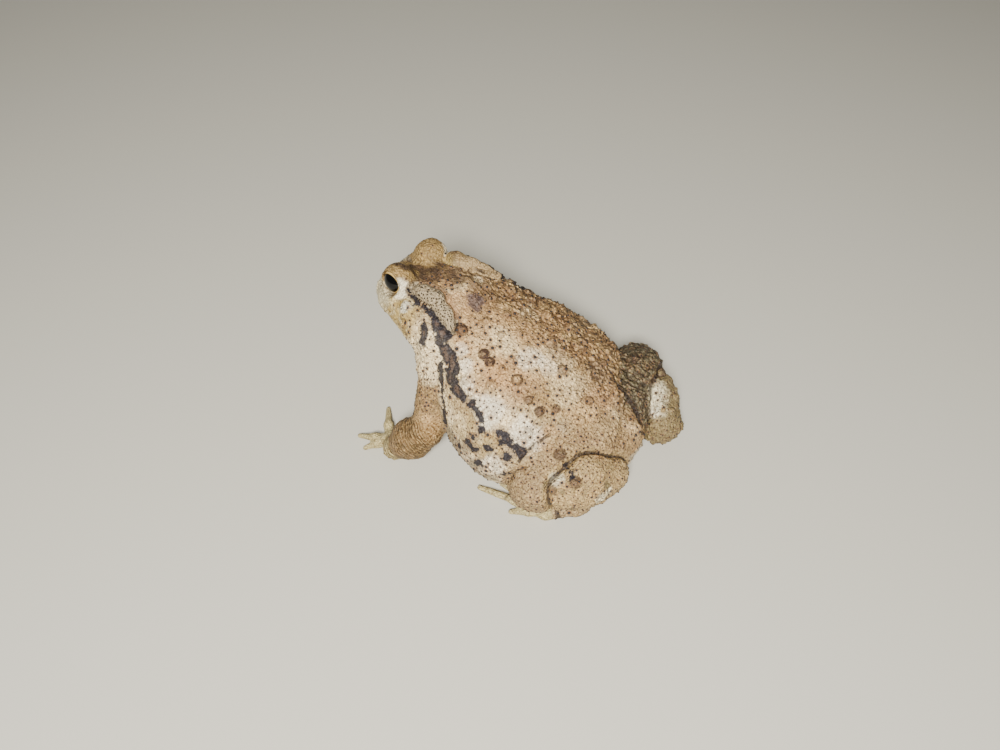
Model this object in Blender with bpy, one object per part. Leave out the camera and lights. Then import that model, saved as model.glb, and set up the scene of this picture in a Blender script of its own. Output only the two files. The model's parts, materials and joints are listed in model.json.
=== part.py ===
"""An adult Asiatic toad sitting still, life size, as a museum model.

The toad faces -Y, its left side is +X, and it rests on the plane Z = 0. Every form is a field of
distances to its surface on a regular grid, in millimetres. Forms are fused softly into one body, the
body is parted into named pieces by narrow gaps, and each piece becomes one closed mesh.
"""

import bmesh
import bpy
import numpy as np
import openvdb

# Driving dimensions, in millimetres unless said otherwise
MM = 0.001
GAP = 0.36
FAR = 9.0
CENTRE = np.array((-0.15, 5.03, 0.0))
FLAT = 0.25
TINY = 1e-6
SIDES = {"left": 1, "right": -1}

# Head: middle point between the eyeballs, its turn, nod and tilt in degrees, and eyeball size
HEAD_MIDDLE = np.array((-0.5, -34.1, 47.3))
HEAD_TURN = -4.0
HEAD_NOD = 13.0
HEAD_TILT = -3.0
EYE = np.array((7.7, 0.0, 0.0))
EYE_RADIUS = 4.1
EYE_AXIS = np.array((0.97, -0.12, 0.13))
HEAD_REAR = 13.5
HEAD_BLEND = 7.0

# Stations of the head in its own frame: along, centre, half width, lowest, widest, highest, squareness
HEAD_STATIONS = (
    (-10.2, 0.0, 8.6, -11.0, -6.0, -3.4, 2.4),
    (-7.0, 0.0, 11.4, -12.9, -6.8, -2.0, 2.5),
    (-2.0, 0.0, 13.8, -14.8, -7.6, -0.6, 2.6),
    (3.0, 0.0, 15.4, -16.6, -8.4, 0.0, 2.6),
    (9.0, 0.0, 17.0, -18.4, -9.8, -0.8, 2.4),
    (15.0, 0.0, 18.0, -20.4, -11.6, -3.4, 2.3),
)
HEAD_CAPS = (2.8, 6.0)

# Stations of the trunk: along, centre, half width, lowest, widest level, highest, squareness
TRUNK_STATIONS = (
    (-20.0, 0.0, 18.6, 17.5, 32.5, 46.0, 2.2),
    (-12.0, 0.4, 22.5, 9.5, 25.0, 45.6, 2.2),
    (-2.0, 1.2, 29.0, 1.5, 16.5, 43.6, 2.1),
    (8.0, 1.6, 32.4, -1.6, 13.5, 40.4, 2.1),
    (18.0, 1.4, 31.6, -2.2, 12.5, 36.6, 2.1),
    (28.0, 1.0, 27.6, -2.2, 12.5, 31.6, 2.1),
    (37.0, 0.4, 21.5, -0.8, 12.0, 26.0, 2.1),
    (43.0, 0.0, 14.8, 2.5, 12.0, 21.0, 2.1),
)
TRUNK_CAPS = (6.0, 5.2)


def smooth_min(a, b, blend):
    """The nearer of two surfaces, rounded where they meet over a width of blend."""
    if blend <= 0:
        return np.minimum(a, b)
    lap = np.maximum(blend - np.abs(a - b), 0) / blend
    return np.minimum(a, b) - lap * lap * blend / 4


def smooth_max(a, b, blend):
    return -smooth_min(-a, -b, blend)


def through(keys, values, where):
    """A smooth curve through the values at the keys, level past both ends."""
    slope = np.gradient(values, keys)
    where = np.clip(where, keys[0], keys[-1])
    i = np.clip(np.searchsorted(keys, where) - 1, 0, len(keys) - 2)
    width = keys[i + 1] - keys[i]
    t = (where - keys[i]) / width
    return (
        values[i] * (2 * t**3 - 3 * t**2 + 1)
        + slope[i] * width * (t**3 - 2 * t**2 + t)
        + values[i + 1] * (3 * t**2 - 2 * t**3)
        + slope[i + 1] * width * (t**3 - t**2)
    )


class Loft:
    """A body drawn through oval stations along Y, with rounded ends."""

    def __init__(self, stations, caps):
        self.table = np.array(stations, float)
        self.caps = caps

    def level(self, x, y, z):
        """Zero on the surface, negative inside, growing outwards."""
        keys = self.table[:, 0]
        centre, width, low, middle, high, power = (
            through(keys, self.table[:, k], y) for k in range(1, 7)
        )
        reach = np.where(z > middle, high - middle, middle - low)
        ring = (np.abs(x - centre) / width) ** power + (np.abs(z - middle) / reach) ** power
        front = np.maximum(keys[0] - y, 0) / self.caps[0]
        back = np.maximum(y - keys[-1], 0) / self.caps[1]
        return np.sqrt(ring ** (2 / power) + front**2 + back**2) - 1


RAY_REACH = 60.0
RAY_HALVINGS = 40


def outward(level, start, way):
    """Where a ray from inside a form meets its surface."""
    start, way = np.asarray(start, float), np.asarray(way, float)
    way = way / np.linalg.norm(way)
    near, far = 0.0, RAY_REACH
    for _ in range(RAY_HALVINGS):
        middle = (near + far) / 2
        if level(*(start + way * middle)) < 0:
            near = middle
        else:
            far = middle
    return start + way * near


PROBE = 0.05


def frame_on(level, place):
    """Axes at a place on a surface: straight out of it, along it to the rear, and along it upwards."""
    steps = np.eye(3) * PROBE
    out = np.array([level(*(place + step)) - level(*(place - step)) for step in steps])
    out /= np.linalg.norm(out)
    rear = np.cross((0, 0, 1), out)
    rear /= np.linalg.norm(rear)
    return np.stack((out, rear, np.cross(out, rear)), axis=1)


def rotation(turn, nod, tilt):
    """Turn about the upright, then nod about the crosswise and tilt about the lengthwise axis."""
    a, b, c = np.radians((turn, nod, tilt))
    about_z = np.array(((np.cos(a), -np.sin(a), 0), (np.sin(a), np.cos(a), 0), (0, 0, 1)))
    about_x = np.array(((1, 0, 0), (0, np.cos(b), -np.sin(b)), (0, np.sin(b), np.cos(b))))
    about_y = np.array(((np.cos(c), 0, np.sin(c)), (0, 1, 0), (-np.sin(c), 0, np.cos(c))))
    return about_z @ about_x @ about_y


HEAD = Loft(HEAD_STATIONS, HEAD_CAPS)
TRUNK = Loft(TRUNK_STATIONS, TRUNK_CAPS)
HEAD_FRAME = rotation(HEAD_TURN, HEAD_NOD, HEAD_TILT)


def from_head(point):
    """A point of the head's own frame, in the toad's frame."""
    return HEAD_FRAME @ np.asarray(point, float) + HEAD_MIDDLE


def into_head(x, y, z):
    """Places in the toad's frame, in the head's own frame."""
    p = (x - HEAD_MIDDLE[0], y - HEAD_MIDDLE[1], z - HEAD_MIDDLE[2])
    return [sum(HEAD_FRAME[i, k] * p[i] for i in range(3)) for k in range(3)]


def mirrored(point, side):
    return np.asarray(point, float) * (side, 1, 1)


def ellipsoid(centre, radii, frame=None):
    """A ball drawn out along three axes, which are the columns of its frame."""
    centre, radii = np.asarray(centre, float), np.asarray(radii, float)
    axes = np.eye(3) if frame is None else frame.T

    def distance(x, y, z):
        p = (x - centre[0], y - centre[1], z - centre[2])
        local = [a[0] * p[0] + a[1] * p[1] + a[2] * p[2] for a in axes]
        near = np.sqrt(sum((v / r) ** 2 for v, r in zip(local, radii)))
        rate = np.sqrt(sum((v / r**2) ** 2 for v, r in zip(local, radii)))
        return near * (near - 1) / np.maximum(rate, TINY)

    reach = np.sqrt(((axes * radii[:, None]) ** 2).sum(0))
    return distance, centre - reach, centre + reach


def limb(points, radii, blend=1.5):
    """A soft tube through the points, tapering between the radii given there."""
    points, radii = np.asarray(points, float), np.asarray(radii, float)

    def distance(x, y, z):
        made = None
        for a, b, ra, rb in zip(points, points[1:], radii, radii[1:]):
            axis = b - a
            p = (x - a[0], y - a[1], z - a[2])
            t = (p[0] * axis[0] + p[1] * axis[1] + p[2] * axis[2]) / (axis @ axis)
            t = np.clip(t, 0, 1)
            away = sum((v - t * d) ** 2 for v, d in zip(p, axis))
            piece = np.sqrt(away) - (ra + (rb - ra) * t)
            made = piece if made is None else smooth_min(made, piece, blend)
        return made

    low = (points - radii[:, None]).min(0)
    high = (points + radii[:, None]).max(0)
    return distance, low, high


SLOWEST = 0.001
DEEPEST = 36.0


class Clay:
    """A box of space on a grid, holding one field of distances for each named piece."""

    def __init__(self, low, high, step):
        self.step = step
        spans = [np.arange(np.floor(a / step), np.ceil(b / step) + 1) for a, b in zip(low, high)]
        self.lines = [((span + 0.5) * step).astype(np.float32) for span in spans]
        self.shape = tuple(len(line) for line in self.lines)
        self.fields = {}

    def place(self):
        x, y, z = self.lines
        return x[:, None, None], y[None, :, None], z[None, None, :]

    def window(self, low, high, margin):
        cut = []
        for line, a, b in zip(self.lines, low, high):
            first, last = np.searchsorted(line, (a - margin, b + margin))
            if first >= last:
                return None
            cut.append(slice(first, last))
        return tuple(cut)

    def press(self, name, shape, blend=0.0, carve=False):
        """Fuses a shape into a piece, or takes it out of the piece."""
        distance, low, high = shape
        field = self.fields.setdefault(name, np.full(self.shape, FAR, np.float32))
        cut = self.window(low, high, FAR)
        if cut is None:
            return
        place = []
        for axes in self.place():
            place.append(axes[tuple(c if axes.shape[k] > 1 else slice(None) for k, c in enumerate(cut))])
        new = distance(*place).astype(np.float32)
        join = smooth_max if carve else smooth_min
        field[cut] = join(field[cut], -new if carve else new, blend)

    def press_level(self, name, level):
        """Starts a piece from a level that is not a distance, divided by how fast it grows."""
        level = np.broadcast_to(level, self.shape).astype(np.float64)
        rate = np.sqrt(sum(g * g for g in np.gradient(level, self.step)))
        self.fields[name] = np.clip(level / np.maximum(rate, SLOWEST), -DEEPEST, FAR).astype(np.float32)


# Head, in its own frame

LID = (7.5, 0.2, 0.2)
LID_RADII = (5.0, 5.4, 4.8)
LID_BLEND = 2.2
CANTHUS = ((3.0, -10.2, -4.6), (5.4, -5.0, -1.4))
CANTHUS_RADII = (1.5, 1.9)
CANTHUS_BLEND = 2.0
LIP_START = np.array((0.0, 1.0, -7.6))
LIP_DROP = -1.6
LIP_ANGLES = np.radians(np.linspace(0, 122, 12))
LIP_OPEN = 1.4
LIP_SEAM = 0.2
LIP_GROOVE = 0.45
LIP_GROOVE_BLEND = 0.5
# Upper and lower lip: how far below the lip line, how deep in, radius, and blend with the head
LIPS = (
    (0.0, 0.4, 1.1, 1.2),
    (2 * LIP_OPEN + 0.3, 0.9, 1.3, 1.4),
)
NOSTRIL = (3.2, -11.6, -4.6)
NOSTRIL_RADII = (0.7, 0.8, 0.7)
NOSTRIL_BLEND = 0.4
TYMPANUM = (8.0, -4.1)
TYMPANUM_RADII = (0.8, 2.1, 3.1)
TYMPANUM_BLEND = 0.6
DISH_OUT = 1.2
DISH_RADII = (1.0, 1.6, 2.6)
DISH_BLEND = 0.3
PAROTOID = (
    (8.4, -28.8, 46.4),
    (8.7, -24.0, 47.5),
    (8.9, -20.0, 47.0),
    (10.7, -15.8, 45.3),
    (13.0, -12.2, 43.6),
)
PAROTOID_RADII = (1.9, 2.4, 2.6, 2.5, 1.9)
PAROTOID_SEAM = 2.0


def lip_points(side, lower, depth):
    """Places along the mouth from its middle to its corner, so far below the lip line and so deep in."""
    points = []
    for angle in LIP_ANGLES:
        share = angle / LIP_ANGLES[-1]
        start = LIP_START + (0, 0, LIP_DROP * share**2 - lower)
        way = np.array((side * np.sin(angle), -np.cos(angle), 0))
        points.append(from_head(outward(HEAD.level, start, way) - way * depth))
    return points


def press_head(clay):
    clay.press_level("head", HEAD.level(*into_head(*clay.place())))
    for side in SIDES.values():
        clay.press("head", ellipsoid(from_head(mirrored(LID, side)), LID_RADII, HEAD_FRAME), LID_BLEND)
        canthus = limb([from_head(mirrored(p, side)) for p in CANTHUS], CANTHUS_RADII)
        clay.press("head", canthus, CANTHUS_BLEND)
        for lower, depth, radius, blend in LIPS:
            points = lip_points(side, lower, depth)
            clay.press("head", limb(points, [radius] * len(points), LIP_SEAM), blend)
        groove = lip_points(side, LIP_OPEN, 0.0)
        groove = limb(groove, [LIP_GROOVE] * len(groove), LIP_SEAM)
        clay.press("head", groove, LIP_GROOVE_BLEND, carve=True)
        nostril = ellipsoid(from_head(mirrored(NOSTRIL, side)), NOSTRIL_RADII, HEAD_FRAME)
        clay.press("head", nostril, NOSTRIL_BLEND, carve=True)
        ear = outward(HEAD.level, (0, *TYMPANUM), (side, 0, 0))
        axes = frame_on(HEAD.level, ear)
        clay.press("head", ellipsoid(from_head(ear), TYMPANUM_RADII, HEAD_FRAME @ axes), TYMPANUM_BLEND)
        dish = ellipsoid(from_head(ear + axes[:, 0] * DISH_OUT), DISH_RADII, HEAD_FRAME @ axes)
        clay.press("head", dish, DISH_BLEND, carve=True)


def press_parotoid(clay, name, side):
    spine = [mirrored(p, side) + (HEAD_MIDDLE[0], 0, 0) for p in PAROTOID]
    clay.press(name, limb(spine, PAROTOID_RADII, PAROTOID_SEAM))


# Limbs of each side: joints, paths down the middle of the soft parts, and the tips of the digits
ARMS = {
    "left": {
        "shoulder": (17.5, -14.5, 26.0),
        "elbow": (30.9, -10.8, 13.5),
        "wrist": (35.8, -19.9, 4.5),
        "palm": (33.8, -24.0, 2.5),
        "fingers": ((28.6, -20.2), (22.8, -33.4), (36.8, -34.8), (39.8, -30.2)),
    },
    "right": {
        "shoulder": (-17.5, -14.5, 26.0),
        "elbow": (-28.5, -6.0, 13.0),
        "wrist": (-33.5, -22.5, 4.6),
        "palm": (-32.0, -26.5, 2.4),
        "fingers": ((-23.0, -31.5), (-28.0, -37.0), (-35.5, -37.0), (-40.0, -30.5)),
    },
}
LEGS = {
    "left": {
        "thigh": ((8.7, 35.8, 15.0), (17.8, 30.6, 14.6), (28.2, 27.6, 11.4)),
        "shank": ((26.4, 34.2, 12.9), (20.8, 38.2, 13.6), (14.0, 43.2, 11.6)),
        "foot": ((13.4, 43.8, 5.0), (23.6, 39.4, 2.7), (30.4, 32.4, 2.2)),
        "toes": ((22.6, 24.0), (24.8, 19.5), (28.0, 15.0), (32.9, 10.0), (35.2, 22.8)),
    },
    "right": {
        "thigh": ((-9.4, 37.7, 14.8), (-18.9, 36.4, 14.6), (-28.0, 33.8, 11.8)),
        "shank": ((-23.6, 35.6, 12.4), (-18.6, 42.1, 12.6), (-13.0, 49.2, 10.6)),
        "foot": ((-15.0, 51.6, 4.4), (-25.8, 46.6, 2.7), (-32.0, 39.4, 2.2)),
        "toes": ((-25.0, 28.0), (-27.0, 23.0), (-30.5, 18.5), (-35.8, 14.5), (-38.6, 27.0)),
    },
}
LEG_RADII = {"thigh": (9.4, 9.2, 8.5), "shank": (6.6, 8.4, 6.8), "foot": (3.4, 2.9, 2.6)}
LEG_SEAM = 3.0
UPPER_ARM_RADII = (6.2, 4.5)
FOREARM_RADII = (5.0, 6.1, 4.1)
FOREARM_SEAM = 2.0
HAND_RADII = (3.2, 2.8)
FINGER = (1.9, 1.35, 0.75)
TOE = (1.6, 1.25, 0.8)
KNUCKLE = 0.45
KNUCKLE_OUT = 0.5
KNUCKLE_RISE = 0.9
DIGIT_BLEND = 1.2


def press_digits(clay, name, root, tips, radii):
    """Digits that rise a little from the hand or foot and come down on their tips."""
    for tip in tips:
        end = np.array((*tip, radii[2]))
        bow = np.array((np.sign(root[0]) * KNUCKLE_OUT, 0, KNUCKLE_RISE))
        clay.press(name, limb((root, root + (end - root) * KNUCKLE + bow, end), radii), DIGIT_BLEND)


def press_arm(clay, side):
    arm = {k: np.array(v) for k, v in ARMS[side].items()}
    clay.press(f"upper_arm_{side}", limb((arm["shoulder"], arm["elbow"]), UPPER_ARM_RADII))
    bulge = (arm["elbow"] + arm["wrist"]) / 2
    forearm = limb((arm["elbow"], bulge, arm["wrist"]), FOREARM_RADII, FOREARM_SEAM)
    clay.press(f"forearm_{side}", forearm)
    clay.press(f"hand_{side}", limb((arm["wrist"], arm["palm"]), HAND_RADII))
    press_digits(clay, f"hand_{side}", arm["palm"], arm["fingers"], FINGER)


def press_leg(clay, side):
    leg = LEGS[side]
    for part, radii in LEG_RADII.items():
        clay.press(f"{part}_{side}", limb(leg[part], radii, LEG_SEAM))
    press_digits(clay, f"foot_{side}", np.array(leg["foot"][-1]), leg["toes"], TOE)


# Warts of the back: along the trunk, angle from upright towards the left in degrees, radius
WARTS = (
    (-8.8, 27.0, 1.8),
    (0.6, 27.0, 1.7),
    (3.2, 28.6, 1.5),
    (12.3, 29.0, 1.6),
    (21.2, 5.0, 1.8),
    (17.8, 37.0, 1.5),
    (21.8, 41.0, 1.5),
    (25.3, 35.0, 1.5),
    (1.6, 10.0, 1.2),
    (7.0, 24.0, 1.3),
    (15.1, -31.0, 2.0),
    (1.0, -28.0, 2.0),
    (-11.0, 3.0, 2.2),
    (14.0, -7.0, 1.8),
    (32.0, 12.0, 1.5),
)
WART_SEED = 4
WART_COUNT = 46
WART_SPACING = 5.0
WART_ALONG = (-11, 37)
WART_ANGLE = (-80, -35, 60)
WART_RADIUS = (1.1, 1.7)
WART_SUNK = 0.35
WART_BLEND = 0.8
# Warts of the left leg, mirrored on the right: part, place, radius
LEG_WARTS = (
    ("thigh", (22.9, 31.8, 23.9), 1.7),
    ("shank", (26.9, 39.3, 20.2), 1.7),
    ("shank", (30.9, 34.2, 17.7), 1.5),
)


def trunk_place(along, angle):
    """A place on the trunk and the way out of it there."""
    centre, middle = (float(through(TRUNK.table[:, 0], TRUNK.table[:, k], np.array(along))) for k in (1, 4))
    way = np.array((np.sin(np.radians(angle)), 0, np.cos(np.radians(angle))))
    return outward(TRUNK.level, (centre, along, middle), way), way


def wart_places():
    """The named warts of the back, and smaller ones drawn between them, most on the right side."""
    draw = np.random.default_rng(WART_SEED)
    made = [(*trunk_place(along, angle), radius) for along, angle, radius in WARTS]
    while len(made) < WART_COUNT:
        place, way = trunk_place(draw.uniform(*WART_ALONG), draw.triangular(*WART_ANGLE))
        radius = draw.uniform(*WART_RADIUS)
        if min(np.linalg.norm(place - other) for other, _, _ in made) > WART_SPACING:
            made.append((place, way, radius))
    return made


def press_wart(clay, name, place, way, radius):
    way = way / np.linalg.norm(way)
    clay.press(name, ellipsoid(place - way * radius * WART_SUNK, (radius,) * 3), WART_BLEND)


def press_leg_warts(clay, side):
    shift = np.array(LEGS[side]["shank"][1]) - mirrored(LEGS["left"]["shank"][1], SIDES[side])
    for part, seen, radius in LEG_WARTS:
        points = np.array(LEGS[side][part])
        seen = mirrored(seen, SIDES[side]) + shift
        inner = [a + (b - a) * t for a, b in zip(points, points[1:]) for t in np.linspace(0, 1, 9)]
        start = min(inner, key=lambda end: np.linalg.norm(end - seen))
        way = seen - start
        place = outward(limb(points, LEG_RADII[part], LEG_SEAM)[0], start, way)
        press_wart(clay, f"{part}_{side}", place, way, radius)


WART_PLACES = wart_places()


def sculpt(low, high, step):
    """All pieces of the toad in one box of space."""
    clay = Clay(low, high, step)
    clay.press_level("torso", TRUNK.level(*clay.place()))
    for place, way, radius in WART_PLACES:
        press_wart(clay, "torso", place, way, radius)
    press_head(clay)
    for side, sign in SIDES.items():
        press_parotoid(clay, f"parotoid_{side}", sign)
        press_arm(clay, side)
        press_leg(clay, side)
        press_leg_warts(clay, side)
    return clay


BLENDS = (
    ("parotoid", 0.8),
    ("upper_arm", 5.0),
    ("forearm", 1.6),
    ("hand", 1.2),
    ("thigh", 3.5),
    ("shank", 0.5),
    ("foot", 0.5),
)


def whole_body(clay):
    """Every piece fused into one skin, set flat on the floor."""
    body = smooth_min(clay.fields["torso"], clay.fields["head"], HEAD_BLEND)
    for kind, blend in BLENDS:
        for side in SIDES:
            body = smooth_min(body, clay.fields[f"{kind}_{side}"], blend)
    return np.maximum(body, -clay.place()[2])


SHARE_SLOWEST = 0.25


def part_share(clay, name):
    """Negative where this piece is the deepest one, in millimetres from the border with the others."""
    core = ("head", "torso")
    own = clay.fields[name] if name not in core else np.minimum(*(clay.fields[c] for c in core))
    others = [f for n, f in clay.fields.items() if n != name and not (name in core and n in core)]
    share = (own - np.min(others, axis=0)).astype(np.float64)
    rate = np.sqrt(sum(g * g for g in np.gradient(share, clay.step)))
    share = share / np.clip(rate, SHARE_SLOWEST, None)
    if name in core:
        plane = into_head(*clay.place())[1] - HEAD_REAR
        share = np.maximum(share, plane if name == "head" else -plane)
    return share


def keep_largest(mesh):
    """Deletes every loose body of the mesh but the one with the most points."""
    work = bmesh.new()
    work.from_mesh(mesh)
    left, bodies = set(work.verts), []
    while left:
        found, edge = set(), [left.pop()]
        while edge:
            vert = edge.pop()
            found.add(vert)
            new = [e.other_vert(vert) for e in vert.link_edges if e.other_vert(vert) in left]
            left.difference_update(new)
            edge += new
        bodies.append(found)
    bodies.sort(key=len)
    loose = [v for body in bodies[:-1] for v in body]
    bmesh.ops.delete(work, geom=loose, context="VERTS")
    work.to_mesh(mesh)
    work.free()


def mesh_of(name, field, clay):
    """The surface where a field is zero, as one closed mesh."""
    grid = openvdb.FloatGrid(background=FAR)
    grid.copyFromArray(np.pad(field, 1, constant_values=FAR).astype(np.float32))
    points, quads = grid.convertToQuads(isovalue=0.0)
    points = (points - 1) * clay.step + [line[0] for line in clay.lines]
    mesh = bpy.data.meshes.new(name)
    mesh.from_pydata(((points - CENTRE) * MM).tolist(), [], quads.tolist())
    mesh.validate()
    keep_largest(mesh)
    return mesh


def thinned(item, triangles):
    """Thins an object's mesh to about so many triangles and lays its underside flat on the floor."""
    fewer = item.modifiers.new("Fewer faces", "DECIMATE")
    fewer.ratio = min(1.0, triangles / sum(len(p.vertices) - 2 for p in item.data.polygons))
    view = bpy.context.evaluated_depsgraph_get()
    mesh = bpy.data.meshes.new_from_object(item.evaluated_get(view))
    item.modifiers.clear()
    item.data = mesh
    for point in mesh.vertices:
        if point.co.z < FLAT * MM:
            point.co.z = 0.0


def place_piece(name, mesh, triangles, colour, roughness):
    """Puts a mesh in the scene with its own material, thinned to about so many triangles."""
    item = bpy.data.objects.new(name, mesh)
    bpy.context.scene.collection.objects.link(item)
    if triangles:
        thinned(item, triangles)
    mesh = item.data
    mesh.shade_smooth()
    material = bpy.data.materials.new(name)
    material.use_nodes = True
    shader = material.node_tree.nodes["Principled BSDF"]
    shader.inputs["Base Color"].default_value = (*colour, 1)
    shader.inputs["Roughness"].default_value = roughness
    mesh.materials.append(material)
    return item


# Pieces: near corner and far corner of the box on the left side, grid step, triangles, colour
SKIN = (0.46, 0.31, 0.17)
CORE = {
    "head": ((-24, -52, 24), (24, -14, 58), 0.5, 3300),
    "torso": ((-38, -30, -2), (38, 54, 52), 0.8, 5900),
}
PAIRS = {
    "parotoid": ((2, -36, 38), (24, -4, 54), 0.5, 320),
    "upper_arm": ((8, -30, -2), (42, 8, 38), 0.8, 420),
    "forearm": ((18, -34, -2), (46, 6, 24), 0.7, 420),
    "hand": ((16, -44, -2), (50, -14, 12), 0.5, 660),
    "thigh": ((0, 10, -2), (44, 56, 32), 0.8, 680),
    "shank": ((2, 14, -2), (46, 64, 26), 0.7, 640),
    "foot": ((2, 2, -2), (48, 62, 14), 0.5, 760),
}
EYE_COLOUR = (0.02, 0.015, 0.01)
EYE_SEGMENTS = 20
EYE_RINGS = 10
SLIT_OUT = 5.4
SLIT_RADII = (4.4, 4.2, 3.3)
SLIT_BLEND = 0.5
SKIN_ROUGHNESS = 0.6
EYE_ROUGHNESS = 0.1


def pieces():
    for name, (low, high, step, triangles) in CORE.items():
        yield name, low, high, step, triangles
    for kind, (low, high, step, triangles) in PAIRS.items():
        yield f"{kind}_left", low, high, step, triangles
        yield f"{kind}_right", (-high[0], *low[1:]), (-low[0], *high[1:]), step, triangles


def make_eye(side, sign):
    mesh = bpy.data.meshes.new(f"eye_{side}")
    work = bmesh.new()
    bmesh.ops.create_uvsphere(work, u_segments=EYE_SEGMENTS, v_segments=EYE_RINGS, radius=EYE_RADIUS * MM)
    bmesh.ops.translate(work, verts=work.verts, vec=(from_head(mirrored(EYE, sign)) - CENTRE) * MM)
    work.to_mesh(mesh)
    work.free()
    place_piece(f"eye_{side}", mesh, 0, EYE_COLOUR, EYE_ROUGHNESS)


def open_eye(clay, field, sign):
    """Cuts the slit between the lids and the round hollow that holds an eyeball."""
    place = clay.place()
    axis = EYE_AXIS / np.linalg.norm(EYE_AXIS)
    slit = ellipsoid(from_head(mirrored(EYE + axis * SLIT_OUT, sign)), SLIT_RADII, HEAD_FRAME)
    field = smooth_max(field, -slit[0](*place), SLIT_BLEND)
    ball = ellipsoid(from_head(mirrored(EYE, sign)), (EYE_RADIUS + GAP,) * 3)
    return np.maximum(field, -ball[0](*place))


def main():
    for old in list(bpy.data.objects):
        bpy.data.objects.remove(old)
    for name, low, high, step, triangles in pieces():
        clay = sculpt(low, high, step)
        field = np.maximum(whole_body(clay), part_share(clay, name) + GAP / 2)
        if name == "head":
            for sign in SIDES.values():
                field = open_eye(clay, field, sign)
        place_piece(name, mesh_of(name, field, clay), triangles, SKIN, SKIN_ROUGHNESS)
    for side, sign in SIDES.items():
        make_eye(side, sign)


main()
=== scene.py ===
"""An adult Asiatic toad sitting still: its skin, tubercles and eyes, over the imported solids."""

import json

import bpy
import numpy as np
import openvdb
from mathutils import Matrix, Vector
from mathutils.kdtree import KDTree

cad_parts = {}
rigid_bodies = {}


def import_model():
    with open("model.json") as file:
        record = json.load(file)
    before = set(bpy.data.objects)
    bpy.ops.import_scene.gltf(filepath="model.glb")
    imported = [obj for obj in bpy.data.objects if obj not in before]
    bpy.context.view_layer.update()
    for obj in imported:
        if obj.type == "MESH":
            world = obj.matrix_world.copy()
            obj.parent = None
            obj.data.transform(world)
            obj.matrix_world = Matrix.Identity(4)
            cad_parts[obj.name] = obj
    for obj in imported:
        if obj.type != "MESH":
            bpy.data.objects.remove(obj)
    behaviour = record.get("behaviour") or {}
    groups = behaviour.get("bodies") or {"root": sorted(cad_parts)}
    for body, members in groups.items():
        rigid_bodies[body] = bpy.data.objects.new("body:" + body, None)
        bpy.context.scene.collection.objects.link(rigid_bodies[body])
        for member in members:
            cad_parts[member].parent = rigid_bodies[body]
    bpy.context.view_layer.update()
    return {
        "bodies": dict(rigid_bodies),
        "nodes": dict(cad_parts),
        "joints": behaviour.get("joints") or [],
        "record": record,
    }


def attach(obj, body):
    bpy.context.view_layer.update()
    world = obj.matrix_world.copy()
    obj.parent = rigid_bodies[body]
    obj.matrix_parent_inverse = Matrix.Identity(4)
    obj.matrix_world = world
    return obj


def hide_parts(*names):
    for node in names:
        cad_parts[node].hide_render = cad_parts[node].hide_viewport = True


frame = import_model()

# Camera
# The photographer stood behind the toad's left side and looked steeply down at it with a wide lens,
# from about a quarter of a metre.

MM = 0.001
CAMERA_PLACE = Vector((136.45, 75.77, 205.0)) * MM
CAMERA_RIGHT = Vector((-0.522, 0.853, 0.0))
CAMERA_UP = Vector((-0.653, -0.400, 0.643))
CAMERA_LENS = 27.04
CAMERA_SENSOR = 36.0


def add_object(name, data):
    made = bpy.data.objects.new(name, data)
    bpy.context.scene.collection.objects.link(made)
    return made


def set_camera():
    right = CAMERA_RIGHT.normalized()
    back = right.cross(CAMERA_UP).normalized()
    up = back.cross(right)
    data = bpy.data.cameras.new("camera")
    data.lens = CAMERA_LENS
    data.sensor_width = CAMERA_SENSOR
    data.clip_start = 0.01
    camera = add_object("camera", data)
    turned = Matrix((right, up, back)).transposed().to_4x4()
    camera.matrix_world = Matrix.Translation(CAMERA_PLACE) @ turned
    bpy.context.scene.camera = camera


set_camera()


# Floor and light
# A plain pale floor, one broad soft lamp from a little above the camera, a weak one from the far
# side, and even light from all round.

FLOOR_SIZE = 4.0
FLOOR_COLOUR = (0.51, 0.48, 0.39)
LAMPS = (
    ("key", (0.33, 0.15, 0.40), 0.12, 7.2),
    ("fill", (-0.30, -0.30, 0.50), 0.50, 0.5),
)
SKY_COLOUR = (1.0, 0.99, 0.97)
LAMPS_AIM = Vector((0, 0, 0.02))
SKY_STRENGTH = 0.13


def lay_floor():
    mesh = bpy.data.meshes.new("floor")
    corners = [(x * FLOOR_SIZE / 2, y * FLOOR_SIZE / 2, 0) for x, y in ((-1, -1), (1, -1), (1, 1), (-1, 1))]
    mesh.from_pydata(corners, [], [(0, 1, 2, 3)])
    floor = add_object("floor", mesh)
    material = bpy.data.materials.new("floor")
    material.use_nodes = True
    shader = material.node_tree.nodes["Principled BSDF"]
    shader.inputs["Base Color"].default_value = (*FLOOR_COLOUR, 1)
    shader.inputs["Roughness"].default_value = 0.9
    mesh.materials.append(material)


def hang_lamps():
    for name, place, size, power in LAMPS:
        data = bpy.data.lights.new(name, "AREA")
        data.size = size
        data.energy = power
        lamp = add_object(name, data)
        lamp.location = place
        lamp.rotation_euler = (LAMPS_AIM - Vector(place)).to_track_quat("-Z", "Y").to_euler()
    world = bpy.data.worlds.new("studio")
    world.use_nodes = True
    sky = world.node_tree.nodes["Background"]
    sky.inputs["Color"].default_value = (*SKY_COLOUR, 1)
    sky.inputs["Strength"].default_value = SKY_STRENGTH
    bpy.context.scene.world = world


lay_floor()
hang_lamps()


# Skin
# The toad's dry, warty skin, one closed sheet over head, trunk, glands and legs. It is sculpted as a
# field of distances in millimetres, in the same frame and from the same forms as the solids, then
# roughened with warts and granules. Its markings are painted point by point from named places, and
# painted shade darkens its creases, fold valleys and the hollows of its relief.

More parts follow.
